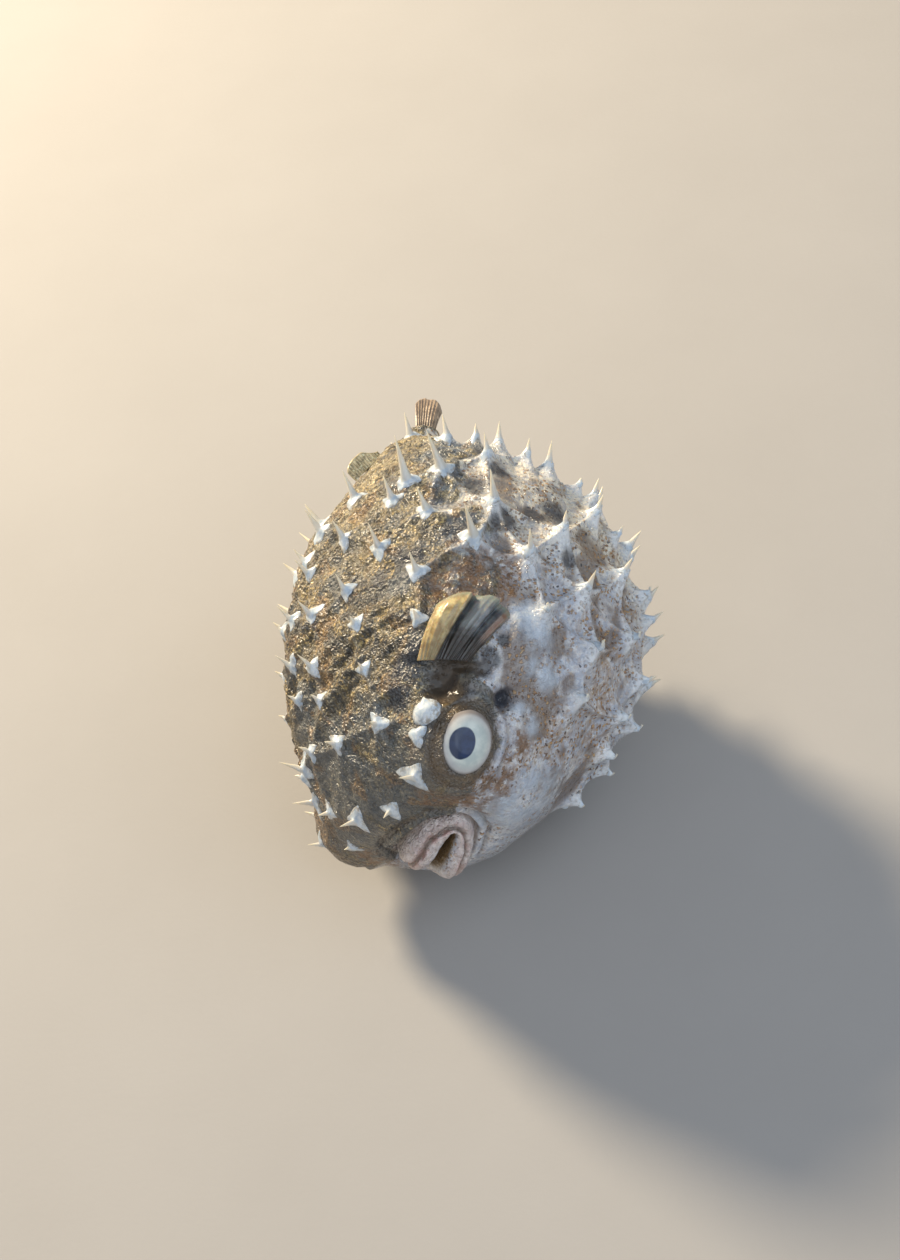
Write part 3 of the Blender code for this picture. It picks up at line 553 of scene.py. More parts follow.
    # faces look outwards
    q = quads[len(quads) // 2]
    fn = np.cross(verts[q[1]] - verts[q[0]], verts[q[2]] - verts[q[0]])
    centre = W.reshape(-1, 3).mean(0)
    flip = fn @ (verts[q[0]] - centre) < 0
    faces = [tuple(f) for f in (quads[:, ::-1] if flip else quads).tolist()]
    tip = len(verts) - 1
    ring0 = [(tip, (k + 1) % cols, k) for k in range(cols)]
    if flip:
        ring0 = [f[::-1] for f in ring0]
    faces += ring0
    last = (total_rows - 1) * cols
    end = [last + k for k in range(cols)]
    faces.append(tuple(end if not flip else end[::-1]))

    mesh = bpy.data.meshes.new("skin")
    mesh.from_pydata(verts.tolist(), [], faces)
    # one map: round the body across, mouth to tail up
    uv = mesh.uv_layers.new(name="OFBake")
    u = np.arange(cols + 1) / cols
    vrow = np.concatenate([np.linspace(0.004, 0.985, rows), 0.985 + np.arange(1, len(caps) + 1) * 0.002])
    jj, ii = j.reshape(-1), i.reshape(-1)
    fu = np.stack([u[jj], u[jj + 1], u[jj + 1], u[jj]], -1)
    fv = np.stack([vrow[ii], vrow[ii], vrow[ii + 1], vrow[ii + 1]], -1)
    if flip:
        fu, fv = fu[:, ::-1], fv[:, ::-1]
    loops = np.stack([fu, fv], -1).reshape(-1, 2)
    t0 = np.stack([np.stack([u[:-1] + 0.5 / cols, np.zeros(cols)], -1), np.stack([u[1:], np.full(cols, 0.004)], -1),
                   np.stack([u[:-1], np.full(cols, 0.004)], -1)], 1)
    if flip:
        t0 = t0[:, ::-1]
    ang = np.arange(cols) * 2 * np.pi / cols
    endc = np.stack([0.5 + 0.001 * np.cos(ang), 0.998 + 0.001 * np.sin(ang)], -1)
    if flip:
        endc = endc[::-1]
    uv.data.foreach_set("uv", np.concatenate([loops, t0.reshape(-1, 2), endc]).ravel())

    def attribute(name, values, end_value):
        extra = np.full(len(caps) * cols, end_value)
        data = np.concatenate([values.reshape(-1), extra, [values[0].mean()]])
        mesh.attributes.new(name, "FLOAT", "POINT").data.foreach_set("value", data.astype(np.float32))

    pos = np.concatenate([Q.reshape(-1, 3)] + caps + [Q[0].mean(0)[None]])
    mesh.attributes.new("fish", "FLOAT_VECTOR", "POINT").data.foreach_set("vector", pos.astype(np.float32).ravel())
    attribute("back", back, 1.0)
    attribute("dark", np.clip(dark, 0, 1), 0.0)
    attribute("rust", np.clip(rust, 0, 1), 0.0)
    attribute("milk", milk, 0.0)
    attribute("tan", np.clip(tan, 0, 1), 0.0)
    attribute("ridge", np.clip(ridge, 0, 1), 0.0)
    attribute("root", root, 0.0)
    attribute("pit", pit, 0.0)
    attribute("lip", lip, 0.0)
    attribute("inside", inside, 0.0)
    attribute("rim", rim, 0.0)
    attribute("gill", gill, 0.0)
    attribute("recess", recess, 0.0)
    attribute("slate", slate, 0.0)
    attribute("veil", veil, 0.0)
    attribute("slick", np.clip(np.maximum(slick, 0.75 * rust), 0, 1), 0.0)
    attribute("zone", (X + 30.0) / 65.0, 0.0)
    attribute("groove", np.clip(groove, 0, 1), 0.0)
    attribute("pink", np.clip(pink, 0, 1), 0.0)
    mesh.shade_smooth()
    obj = bpy.data.objects.new("skin", mesh)
    bpy.context.scene.collection.objects.link(obj)
    return obj, Q, N


# ---------------------------------------------------------------- material helpers
class Nodes:
    """Short names for building a node material."""

    def __init__(self, name):
        self.mat = bpy.data.materials.new(name)
        self.mat.use_nodes = True
        self.t = self.mat.node_tree
        self.shader = self.t.nodes["Principled BSDF"]

    def new(self, kind, **props):
        n = self.t.nodes.new(kind)
        for k, v in props.items():
            setattr(n, k, v)
        return n

    def put(self, socket, value):
        if isinstance(value, bpy.types.NodeSocket):
            self.t.links.new(value, socket)
        elif value is not None:
            socket.default_value = value

    def attr(self, name, vector=False):
        n = self.new("ShaderNodeAttribute", attribute_name=name)
        return n.outputs["Vector"] if vector else n.outputs["Fac"]

    def math(self, op, a, b=None, c=None, clamp=False):
        n = self.new("ShaderNodeMath", operation=op, use_clamp=clamp)
        for s, v in zip(n.inputs, (a, b, c)):
            self.put(s, v)
        return n.outputs[0]

    def mix(self, fac, a, b, blend="MIX"):
        n = self.new("ShaderNodeMix", data_type="RGBA", blend_type=blend)
        n.clamp_factor = True
        self.put(n.inputs["Factor"], fac)
        for s, v in ((n.inputs[6], a), (n.inputs[7], b)):
            self.put(s, (*v, 1) if isinstance(v, tuple) and len(v) == 3 else v)
        return n.outputs[2]

    def noise(self, vec, scale, detail=3.0, rough=0.55, distort=0.0, offset=None):
        n = self.new("ShaderNodeTexNoise")
        if offset is not None:
            m = self.new("ShaderNodeVectorMath", operation="ADD")
            self.put(m.inputs[0], vec)
            m.inputs[1].default_value = (offset, offset * 0.7, -offset)
            vec = m.outputs[0]
        self.put(n.inputs["Vector"], vec)
        n.inputs["Scale"].default_value = scale
        n.inputs["Detail"].default_value = detail
        n.inputs["Roughness"].default_value = rough
        n.inputs["Distortion"].default_value = distort
        return n.outputs["Fac"]

    def warp(self, vec, scale, amount):
        n = self.new("ShaderNodeTexNoise", noise_dimensions="3D")
        self.put(n.inputs["Vector"], vec)
        n.inputs["Scale"].default_value = scale
        n.inputs["Detail"].default_value = 2.0
        a = self.new("ShaderNodeVectorMath", operation="SUBTRACT")
        self.put(a.inputs[0], n.outputs["Color"])
        a.inputs[1].default_value = (0.5, 0.5, 0.5)
        b = self.new("ShaderNodeVectorMath", operation="SCALE")
        self.put(b.inputs[0], a.outputs[0])
        b.inputs["Scale"].default_value = amount * 2
        c = self.new("ShaderNodeVectorMath", operation="ADD")
        self.put(c.inputs[0], vec)
        self.put(c.inputs[1], b.outputs[0])
        return c.outputs[0]

    def cells(self, vec, scale, feature="F1", out="Distance", randomness=1.0):
        n = self.new("ShaderNodeTexVoronoi", feature=feature)
        self.put(n.inputs["Vector"], vec)
        n.inputs["Scale"].default_value = scale
        n.inputs["Randomness"].default_value = randomness
        return n.outputs[out]

    def step(self, value, low, high, smooth_type="SMOOTHSTEP"):
        n = self.new("ShaderNodeMapRange", interpolation_type=smooth_type)
        self.put(n.inputs["Value"], value)
        n.inputs["From Min"].default_value = low
        n.inputs["From Max"].default_value = high
        return n.outputs["Result"]

    def ramp(self, fac, stops):
        n = self.new("ShaderNodeValToRGB")
        self.put(n.inputs["Fac"], fac)
        el = n.color_ramp.elements
        while len(el) < len(stops):
            el.new(0.5)
        for e, (pos, col) in zip(el, stops):
            e.position = pos
            e.color = (*col, 1)
        return n.outputs["Color"]

    def scaled(self, vec, scale):
        n = self.new("ShaderNodeVectorMath", operation="MULTIPLY")
        self.put(n.inputs[0], vec)
        n.inputs[1].default_value = scale
        return n.outputs[0]

    def bump(self, height, distance, strength=1.0, normal=None):
        n = self.new("ShaderNodeBump")
        self.put(n.inputs["Height"], height)
        n.inputs["Distance"].default_value = distance
        n.inputs["Strength"].default_value = strength
        if normal is not None:
            self.put(n.inputs["Normal"], normal)
        return n.outputs["Normal"]

    def set(self, **sockets):
        for k, v in sockets.items():
            self.put(self.shader.inputs[k.replace("_", " ")], (*v, 1) if isinstance(v, tuple) and len(v) == 3 and "Radius" not in k else v)
        return self.mat


def skin_material():
    m = Nodes("wet_skin")
    fp = m.attr("fish", vector=True)
    back, dark, rust, milk, slate = m.attr("back"), m.attr("dark"), m.attr("rust"), m.attr("milk"), m.attr("slate")
    ridge, root, pit = m.attr("ridge"), m.attr("root"), m.attr("pit")
    lip, inside, rim, gill, recess = m.attr("lip"), m.attr("inside"), m.attr("rim"), m.attr("gill"), m.attr("recess")
    groove, pink = m.attr("groove"), m.attr("pink")

    # white belly: lavender white on the ridges, tan and orange dust in the hollows, tiny black dots; painted warm light
    # towards the tail, painted shade deep in the hollows
    cloud = m.noise(fp, 0.16, 3, 0.6)
    zone = m.attr("zone")
    belly = m.mix(m.step(cloud, 0.34, 0.68), (0.43, 0.455, 0.51), (0.67, 0.675, 0.685))
    # cream tint towards the tail: painted warm light on the flank
    belly = m.mix(m.math("MULTIPLY", m.step(zone, 0.46, 0.16), 0.85), belly, (0.86, 0.77, 0.59))
    mottle = m.noise(fp, 0.75, 5, 0.68, 0.4, 17.0)
    belly = m.mix(m.math("MULTIPLY", m.step(mottle, 0.52, 0.44), 0.60), belly, (0.29, 0.34, 0.43))
    belly = m.mix(m.math("MULTIPLY", m.step(mottle, 0.55, 0.62), 0.55), belly, (0.70, 0.69, 0.64))
    tan = m.attr("tan")
    loose = m.warp(fp, 1.1, 0.55)
    tone_b = m.math("ADD", m.math("MULTIPLY", pit, 0.5), m.math("MULTIPLY", tan, 0.85))
    dust = m.math("MULTIPLY", m.step(m.noise(fp, 0.62, 6, 0.74, 0.5), 0.43, 0.56), tone_b, clamp=True)
    dust = m.math("MULTIPLY", dust, m.math("SUBTRACT", 1.0, m.math("MULTIPLY", milk, m.math("SUBTRACT", 0.6, m.math("MULTIPLY", tan, 0.6)))))
    belly = m.mix(m.math("MULTIPLY", dust, 0.62), belly, m.mix(m.noise(fp, 0.8, 2), (0.22, 0.13, 0.065), (0.40, 0.24, 0.105)))
    # dark brown deep in the hollows between spines: partly brown skin, partly painted shade
    pit_brown_and_shade = m.math("MULTIPLY", m.step(pit, 0.28, 0.72), m.step(m.noise(fp, 0.14, 2, 0.5, 0.0, 37.0), 0.47, 0.58))
    belly = m.mix(m.math("MULTIPLY", pit_brown_and_shade, 0.75), belly, (0.13, 0.085, 0.055))
    sandy = m.math("ADD", m.step(m.noise(fp, 0.17, 3, 0.6, 0.3, 31.0), 0.38, 0.56), tan, clamp=True)
    grains = m.math("MULTIPLY", m.step(m.cells(loose, 1.25), 0.44, 0.33), m.math("ADD", m.math("MULTIPLY", sandy, 0.85), 0.15))
    grains = m.math("MULTIPLY", grains, m.step(m.noise(fp, 0.95, 2, 0.5, 0.0, 53.0), 0.40, 0.46))
    grains = m.math("MULTIPLY", grains, m.math("SUBTRACT", 1.0, m.math("MULTIPLY", m.step(milk, 0.1, 0.8), 0.78)))
    speck = m.ramp(m.noise(fp, 1.15, 1, 0.5, 0, 12.0), [(0.36, (0.090, 0.050, 0.028)), (0.46, (0.29, 0.145, 0.055)), (0.58, (0.47, 0.26, 0.09)), (0.70, (0.48, 0.34, 0.18))])
    belly = m.mix(m.math("MULTIPLY", grains, 0.88), belly, speck)
    dots = m.math("MULTIPLY", m.step(m.cells(loose, 0.55), 0.165, 0.095), m.step(m.noise(fp, 0.22, 2, 0.5, 0, 77.0), 0.38, 0.50))
    belly = m.mix(m.math("MULTIPLY", dots, 0.90), belly, (0.020, 0.020, 0.028))

    # brown back: gold grain, partly painted glints, over grey and near-black mottling
    tone = m.noise(fp, 0.20, 5, 0.66, 1.0, 11.0)
    grain = m.noise(fp, 1.7, 3, 0.7, 0.0, 5.0)
    under = m.ramp(tone, [(0.36, (0.020, 0.019, 0.016)), (0.46, (0.060, 0.051, 0.034)), (0.55, (0.15, 0.115, 0.058)), (0.66, (0.30, 0.225, 0.10))])
    # gold grains: partly the skin's own gold, partly painted glints of the warm light
    gold = m.mix(m.step(grain, 0.45, 0.62), under, m.mix(m.noise(fp, 0.7, 1, 0.5, 0, 70.0), (0.80, 0.60, 0.24), (0.52, 0.35, 0.13)))
    gold = m.mix(m.step(tone, 0.50, 0.40), gold, m.mix(m.math("MULTIPLY", m.step(grain, 0.45, 0.62), 0.30), under, (0.30, 0.27, 0.20)))
    bare = m.step(m.noise(fp, 0.15, 4, 0.60, 0.8, 101.0), 0.56, 0.44)
    gold = m.mix(m.math("MULTIPLY", bare, 0.78), gold, m.mix(m.step(grain, 0.45, 0.66), under, (0.17, 0.125, 0.065)))
    pale = m.math("MULTIPLY", m.step(m.noise(fp, 0.26, 4, 0.60, 0.8, 113.0), 0.58, 0.68), m.step(grain, 0.42, 0.58))
    gold = m.mix(m.math("MULTIPLY", pale, 0.75), gold, (0.78, 0.70, 0.50))
    crumbs = m.cells(fp, 1.35)
    skin_back = m.mix(m.math("MULTIPLY", m.step(crumbs, 0.28, 0.62), 0.74), gold, m.mix(0.6, under, (0.020, 0.018, 0.015)))
    # towards the tail the grains turn bright gold: partly the skin's own gold, partly painted glitter where the light
    # falls
    rear = m.math("MULTIPLY", m.step(zone, 0.45, 0.10), m.step(m.noise(fp, 0.30, 4, 0.65, 0.6, 39.0), 0.42, 0.58))
    skin_back = m.mix(m.math("MULTIPLY", rear, 0.50), skin_back, m.mix(m.step(grain, 0.40, 0.60), (0.22, 0.185, 0.11), (0.80, 0.66, 0.38)))
    grey = m.step(m.math("ADD", m.noise(fp, 0.11, 3, 0.5, 0.5, 47.0), m.math("MULTIPLY", m.step(zone, 0.62, 0.92), 0.20)), 0.52, 0.66)
    skin_back = m.mix(m.math("MULTIPLY", grey, 0.68), skin_back, m.mix(grain, (0.026, 0.031, 0.036), (0.175, 0.195, 0.20)))
    warm = m.step(m.noise(fp, 0.14, 3, 0.6, 0.5, 58.0), 0.54, 0.62)
    skin_back = m.mix(m.math("MULTIPLY", warm, 0.62), skin_back, m.mix(m.step(grain, 0.38, 0.62), (0.055, 0.028, 0.010), (0.32, 0.18, 0.06)))

    ragged = m.math("ADD", back, m.math("MULTIPLY", m.math("SUBTRACT", m.noise(fp, 0.8, 4, 0.65, 0.3, 3.0), 0.5), 0.9))
    col = m.mix(m.step(ragged, 0.35, 0.62), belly, skin_back)
    slaty = m.math("MULTIPLY", slate, m.step(m.noise(fp, 0.24, 3, 0.6, 0.4, 83.0), 0.42, 0.60))
    col = m.mix(m.math("MULTIPLY", slaty, 0.80), col, m.mix(m.noise(fp, 0.7, 3, 0.6, 0, 29.0), (0.05, 0.058, 0.075), (0.20, 0.225, 0.26)))
    rusty = m.math("MULTIPLY", rust, m.step(m.noise(fp, 0.8, 3, 0.6, 0.0, 23.0), 0.25, 0.60))
    col = m.mix(m.math("MULTIPLY", m.step(rusty, 0.10, 0.75), 0.90), col, m.mix(m.noise(fp, 1.4, 2), (0.058, 0.027, 0.010), (0.29, 0.145, 0.052)))
    # near-black from the dark table: blotches, and painted shade below the fins and beside the eyes
    darker = m.step(m.math("ADD", dark, m.math("MULTIPLY", m.math("SUBTRACT", m.noise(fp, 0.7, 4, 0.6, 0.2, 61.0), 0.5), 0.5)), 0.20, 0.70)
    col = m.mix(m.math("MULTIPLY", darker, 0.88), col, m.mix(m.noise(fp, 0.9, 3, 0.6, 0, 8.0), (0.008, 0.008, 0.011), (0.07, 0.072, 0.08)))
    # the skin thins to white along the ridges and over the roots of the spines
    veil = m.attr("veil")
    cover = m.math("MULTIPLY", back, m.math("SUBTRACT", 0.86, m.math("MULTIPLY", veil, 0.66)))
    thin = m.math("MULTIPLY", m.step(m.math("ADD", ridge, m.math("MULTIPLY", m.math("SUBTRACT", m.noise(fp, 0.7, 3, 0.65), 0.5), 0.35)), 0.34, 0.74),
                  m.math("SUBTRACT", 1.0, cover))
    white = m.math("MAXIMUM", thin, m.math("MULTIPLY", m.step(root, 0.35, 0.80), m.math("SUBTRACT", 1.0, m.math("MULTIPLY", back, 0.60))))
    haze = m.math("MULTIPLY", m.math("MULTIPLY", veil, back), m.step(m.noise(fp, 0.33, 4, 0.65, 0.6, 73.0), 0.50, 0.66))
    col = m.mix(m.math("MULTIPLY", haze, 0.60), col, (0.40, 0.47, 0.52))
    col = m.mix(m.math("MULTIPLY", white, 0.82), col, m.mix(m.noise(fp, 0.35, 3), (0.58, 0.62, 0.67), (0.73, 0.73, 0.71)))
    col = m.mix(m.math("MULTIPLY", m.step(milk, 0.15, 0.9), m.math("SUBTRACT", 0.70, m.math("MULTIPLY", back, 0.70))), col, m.mix(m.noise(fp, 0.5, 3, 0.6, 0.3, 64.0), (0.32, 0.40, 0.50), (0.58, 0.63, 0.69)))
    # lips, mouth, rim of the eye with painted shade under the brow, painted shade in the hollow at the fin's foot and
    # in the gill opening
    lips = m.mix(m.step(m.noise(fp, 0.60, 3, 0.6), 0.35, 0.68), (0.50, 0.42, 0.40), (0.71, 0.635, 0.60))
    lips = m.mix(m.math("MULTIPLY", pink, m.step(m.noise(fp, 0.45, 2, 0.5, 0, 33.0), 0.35, 0.62)), lips, (0.52, 0.30, 0.27))
    col = m.mix(m.math("MULTIPLY", lip, 0.94), col, lips)
    col = m.mix(m.math("MULTIPLY", groove, 0.75), col, m.mix(m.noise(fp, 0.9, 2), (0.075, 0.048, 0.026), (0.20, 0.13, 0.08)))
    col = m.mix(inside, col, m.mix(m.noise(fp, 0.6, 2), (0.14, 0.085, 0.035), (0.30, 0.20, 0.10)))
    # brown rim of the eye, widened on the back's side by painted shade under the brow
    col = m.mix(m.math("MULTIPLY", rim, 0.85), col, m.mix(m.noise(fp, 0.4, 2), (0.040, 0.030, 0.022), (0.19, 0.125, 0.060)))
    # near-black brown in the hollow at the fin's foot: painted shade
    col = m.mix(m.math("MULTIPLY", m.step(recess, 0.14, 0.62), 0.95), col, m.mix(m.noise(fp, 0.8, 3), (0.006, 0.004, 0.002), (0.066, 0.038, 0.014)))
    # gill opening painted near-black: painted shade inside the opening
    col = m.mix(m.math("MULTIPLY", m.step(gill, 0.16, 0.78), 0.96), col, m.mix(m.noise(fp, 0.8, 2), (0.014, 0.016, 0.022), (0.060, 0.068, 0.090)))

    # wet gloss with dry grains
    rough = m.math("ADD", 0.20, m.math("MULTIPLY", m.noise(fp, 0.9, 3, 0.6, 0, 91.0), 0.30))
    rough = m.math("ADD", rough, m.math("MULTIPLY", grains, 0.25), clamp=True)
    rough = m.math("ADD", rough, m.math("MULTIPLY", m.step(recess, 0.2, 0.8), 0.5), clamp=True)
    # granular relief on the back, pores on the belly
    pebble = m.math("SUBTRACT", 1.0, m.cells(m.warp(fp, 0.9, 0.5), 2.0, "SMOOTH_F1"))
    relief = m.math("MULTIPLY", m.math("ADD", m.math("MULTIPLY", pebble, 1.2), m.math("MULTIPLY", grain, 0.9)), back)
    relief = m.math("MULTIPLY", relief, m.math("SUBTRACT", 1.0, m.math("MULTIPLY", m.attr("slick"), 0.9)))
    pores = m.math("MULTIPLY", m.noise(fp, 1.3, 3, 0.6, 0.0, 15.0), m.math("SUBTRACT", 0.75, m.math("MULTIPLY", back, 0.65)))
    h = m.math("ADD", m.math("ADD", relief, pores), m.math("MULTIPLY", grains, 0.45))
    h = m.math("MULTIPLY", h, m.math("SUBTRACT", 1.0, m.math("MULTIPLY", m.step(recess, 0.2, 0.8), 0.7)))
    normal = m.bump(h, 0.00046, 1.0)
    m.set(Base_Color=col, Roughness=rough, Normal=normal, Coat_Normal=normal, Coat_Weight=0.60, Coat_Roughness=0.12, Specular_IOR_Level=0.6,
          Subsurface_Weight=0.08, Subsurface_Scale=0.0010)
    m.shader.inputs["Subsurface Radius"].default_value = (1.0, 0.55, 0.35)
    return m.mat


def spine_material():
    m = Nodes("spine_bone")
    t, plate, belly, fp = m.attr("along"), m.attr("plate"), m.attr("belly"), m.attr("fish", vector=True)
    cone = m.ramp(t, [(0.0, (0.50, 0.54, 0.56)), (0.14, (0.58, 0.57, 0.52)), (0.45, (0.66, 0.61, 0.50)), (1.0, (0.72, 0.62, 0.42))])
    streak = m.noise(fp, 1.1, 3, 0.6)
    cone = m.mix(m.math("MULTIPLY", m.step(streak, 0.45, 0.75), 0.30), cone, (0.48, 0.45, 0.40))
    # the plate is glassy white with milky blue and a little silt on it
    sheet = m.mix(m.step(m.noise(fp, 0.7, 3, 0.6, 0.4), 0.35, 0.68), (0.40, 0.48, 0.56), (0.66, 0.70, 0.72))
    dirt = m.math("MULTIPLY", m.step(plate, 0.45, 0.95), m.step(m.noise(fp, 1.1, 4, 0.7), 0.44, 0.62))
    sheet = m.mix(m.math("MULTIPLY", dirt, 0.72), sheet, m.mix(m.noise(fp, 2.0, 2), (0.12, 0.085, 0.045), (0.36, 0.26, 0.13)))
    col = m.mix(m.step(plate, 0.02, 0.14), cone, sheet)
    normal = m.bump(m.noise(fp, 1.6, 3, 0.6), 0.00010, 0.7)
    rough = m.math("ADD", 0.22, m.math("MULTIPLY", streak, 0.2))
    m.set(Base_Color=col, Roughness=rough, Normal=normal, Coat_Weight=0.4, Coat_Roughness=0.12,
          Subsurface_Weight=0.35, Subsurface_Scale=0.0012)
    m.shader.inputs["Subsurface Radius"].default_value = (1.0, 0.85, 0.65)
    return m.mat


def eye_material():
    m = Nodes("clouded_eye")
    r, fp = m.attr("disc"), m.attr("fish", vector=True)
    wob = m.math("MULTIPLY", m.math("SUBTRACT", m.noise(fp, 0.5, 2), 0.5), 0.04)
    rr = m.math("ADD", r, wob)
    iris = m.mix(m.step(m.noise(fp, 0.45, 3, 0.6), 0.35, 0.7), (0.46, 0.52, 0.50), (0.62, 0.66, 0.61))
    pupil = m.mix(m.step(m.noise(fp, 0.7, 3, 0.6, 0.5), 0.35, 0.7), (0.007, 0.016, 0.055), (0.016, 0.034, 0.100))
    pupil = m.mix(m.math("MULTIPLY", m.step(rr, 0.36, 0.50), 0.45), pupil, (0.035, 0.055, 0.10))
    pp = m.math("ADD", m.attr("pupil"), wob)
    iris = m.mix(m.math("MULTIPLY", m.step(rr, 0.62, 0.95), 0.55), iris, m.mix(m.noise(fp, 0.35, 2), (0.40, 0.38, 0.42), (0.58, 0.52, 0.50)))
    col = m.mix(m.step(pp, 0.500, 0.550), pupil, iris)
    col = m.mix(m.math("MULTIPLY", m.step(rr, 0.88, 1.02), 0.75), col, (0.22, 0.17, 0.14))
    rough = m.math("ADD", 0.16, m.math("MULTIPLY", m.noise(fp, 1.0, 2), 0.12))
    normal = m.bump(m.noise(fp, 0.9, 3, 0.5), 0.00005, 0.4)
    m.set(Base_Color=col, Roughness=rough, Normal=normal, Coat_Weight=0.25, Coat_Roughness=0.10, Specular_IOR_Level=0.35)
    return m.mat


def pectoral_material():
    """Golden where the light shines through the lifted first rays, painted light; slate grey in the folds, painted
    shade; a painted shadow under the golden flap; with a clear green edge.
    """
    m = Nodes("pectoral_membrane")
    fp, ray, along, across = m.attr("fish", vector=True), m.attr("ray"), m.attr("along"), m.attr("across")
    mott = m.noise(fp, 0.55, 4, 0.6, 0.3)
    # golden blade: painted light
    gold = m.mix(m.step(mott, 0.35, 0.66), (0.30, 0.20, 0.075), (0.56, 0.45, 0.22))
    # slate grey blade: painted shade
    grey = m.mix(m.step(mott, 0.35, 0.66), (0.050, 0.056, 0.066), (0.16, 0.175, 0.18))
    ridge = m.math("MULTIPLY", m.step(across, 0.45, 0.54), m.step(across, 0.68, 0.58))
    grey = m.mix(m.math("MULTIPLY", ridge, 0.75), grey, (0.25, 0.26, 0.25))
    base = m.mix(m.step(across, 0.30, 0.36), gold, grey)
    # dark band beside the golden flap: painted shadow cast by the flap
    valley_shadow = m.math("MULTIPLY", m.step(across, 0.32, 0.37), m.step(across, 0.48, 0.42))
    base = m.mix(m.math("MULTIPLY", valley_shadow, 0.8), base, (0.030, 0.026, 0.022))
    seam = m.math("MULTIPLY", m.step(across, 0.84, 0.90), m.step(across, 0.98, 0.92))
    base = m.mix(m.math("MULTIPLY", seam, 0.7), base, (0.24, 0.10, 0.030))
    base = m.mix(m.math("MULTIPLY", m.step(ray, 0.45, 0.95), 0.16), base, (0.36, 0.33, 0.25))
    base = m.mix(m.math("MULTIPLY", m.step(along, 0.86, 0.97), 0.65), base, (0.26, 0.28, 0.21))
    shade = m.math("MULTIPLY", m.step(m.math("ADD", along, m.math("MULTIPLY", mott, 0.30)), 0.70, 0.46), m.step(across, 0.26, 0.40))
    base = m.mix(m.math("MULTIPLY", shade, 0.96), base, (0.016, 0.011, 0.007))
    foot = m.math("MULTIPLY", m.step(along, 0.36, 0.20), m.step(across, 0.36, 0.26))
    base = m.mix(m.math("MULTIPLY", foot, 0.60), base, (0.17, 0.12, 0.055))
    rough = m.math("ADD", 0.22, m.math("MULTIPLY", m.noise(fp, 1.2, 2), 0.25))
    normal = m.bump(m.math("ADD", m.noise(fp, 1.8, 3), m.math("MULTIPLY", ray, 0.35)), 0.00014, 0.8)
    m.set(Base_Color=base, Roughness=rough, Normal=normal, Coat_Weight=0.5, Coat_Roughness=0.12,
          Subsurface_Weight=0.20, Subsurface_Scale=0.001)
    return m.mat


def median_material(name, low, high, grains, edge):
    """Grained skin over the rays of the dorsal, anal and tail fins, with bright specks that are partly painted glints.
    """
    m = Nodes(name)
    fp, ray, along = m.attr("fish", vector=True), m.attr("ray"), m.attr("along")
    mott = m.noise(fp, 0.45, 4, 0.6, 0.3)
    base = m.mix(m.step(mott, 0.36, 0.66), low, high)
    # bright specks: partly grain, partly painted glints
    grain = m.step(m.cells(fp, 1.5), 0.42, 0.15)
    base = m.mix(m.math("MULTIPLY", grain, grains), base, tuple(min(1.35 * v, 0.9) for v in high))
    base = m.mix(m.math("MULTIPLY", m.step(m.noise(fp, 1.3, 3, 0.65, 0.3, 21.0), 0.52, 0.62), 0.65), base, tuple(0.30 * v for v in low))
    base = m.mix(m.math("MULTIPLY", m.step(ray, 0.45, 0.95), 0.30), base, tuple(1.25 * v for v in high))
    base = m.mix(m.math("MULTIPLY", m.step(along, 0.80, 1.0), 0.5), base, edge)
    rough = m.math("ADD", 0.25, m.math("MULTIPLY", m.noise(fp, 1.2, 2), 0.25))
    normal = m.bump(m.math("ADD", m.noise(fp, 1.8, 3), m.math("MULTIPLY", ray, 0.6)), 0.00014, 0.8)
    m.set(Base_Color=base, Roughness=rough, Normal=normal, Coat_Weight=0.4, Coat_Roughness=0.15)
    return m.mat


# ---------------------------------------------------------------- spines
ROUND_SCUTE, SMALL_SCUTE = (24.2, 53), (27.6, 48)     # the brow's white buttons
WIDE_PLATE = (33.0, 46)


def tent_height(k):
    """How far a spine lifts the skin along itself."""
    belly = float(smooth(45, 90, abs(SDEG[k])))
    return (0.45 + 1.05 * belly) * min(1.0, SL[k] / 4.0) * (1.25 if SL[k] > 6 else 1.0)


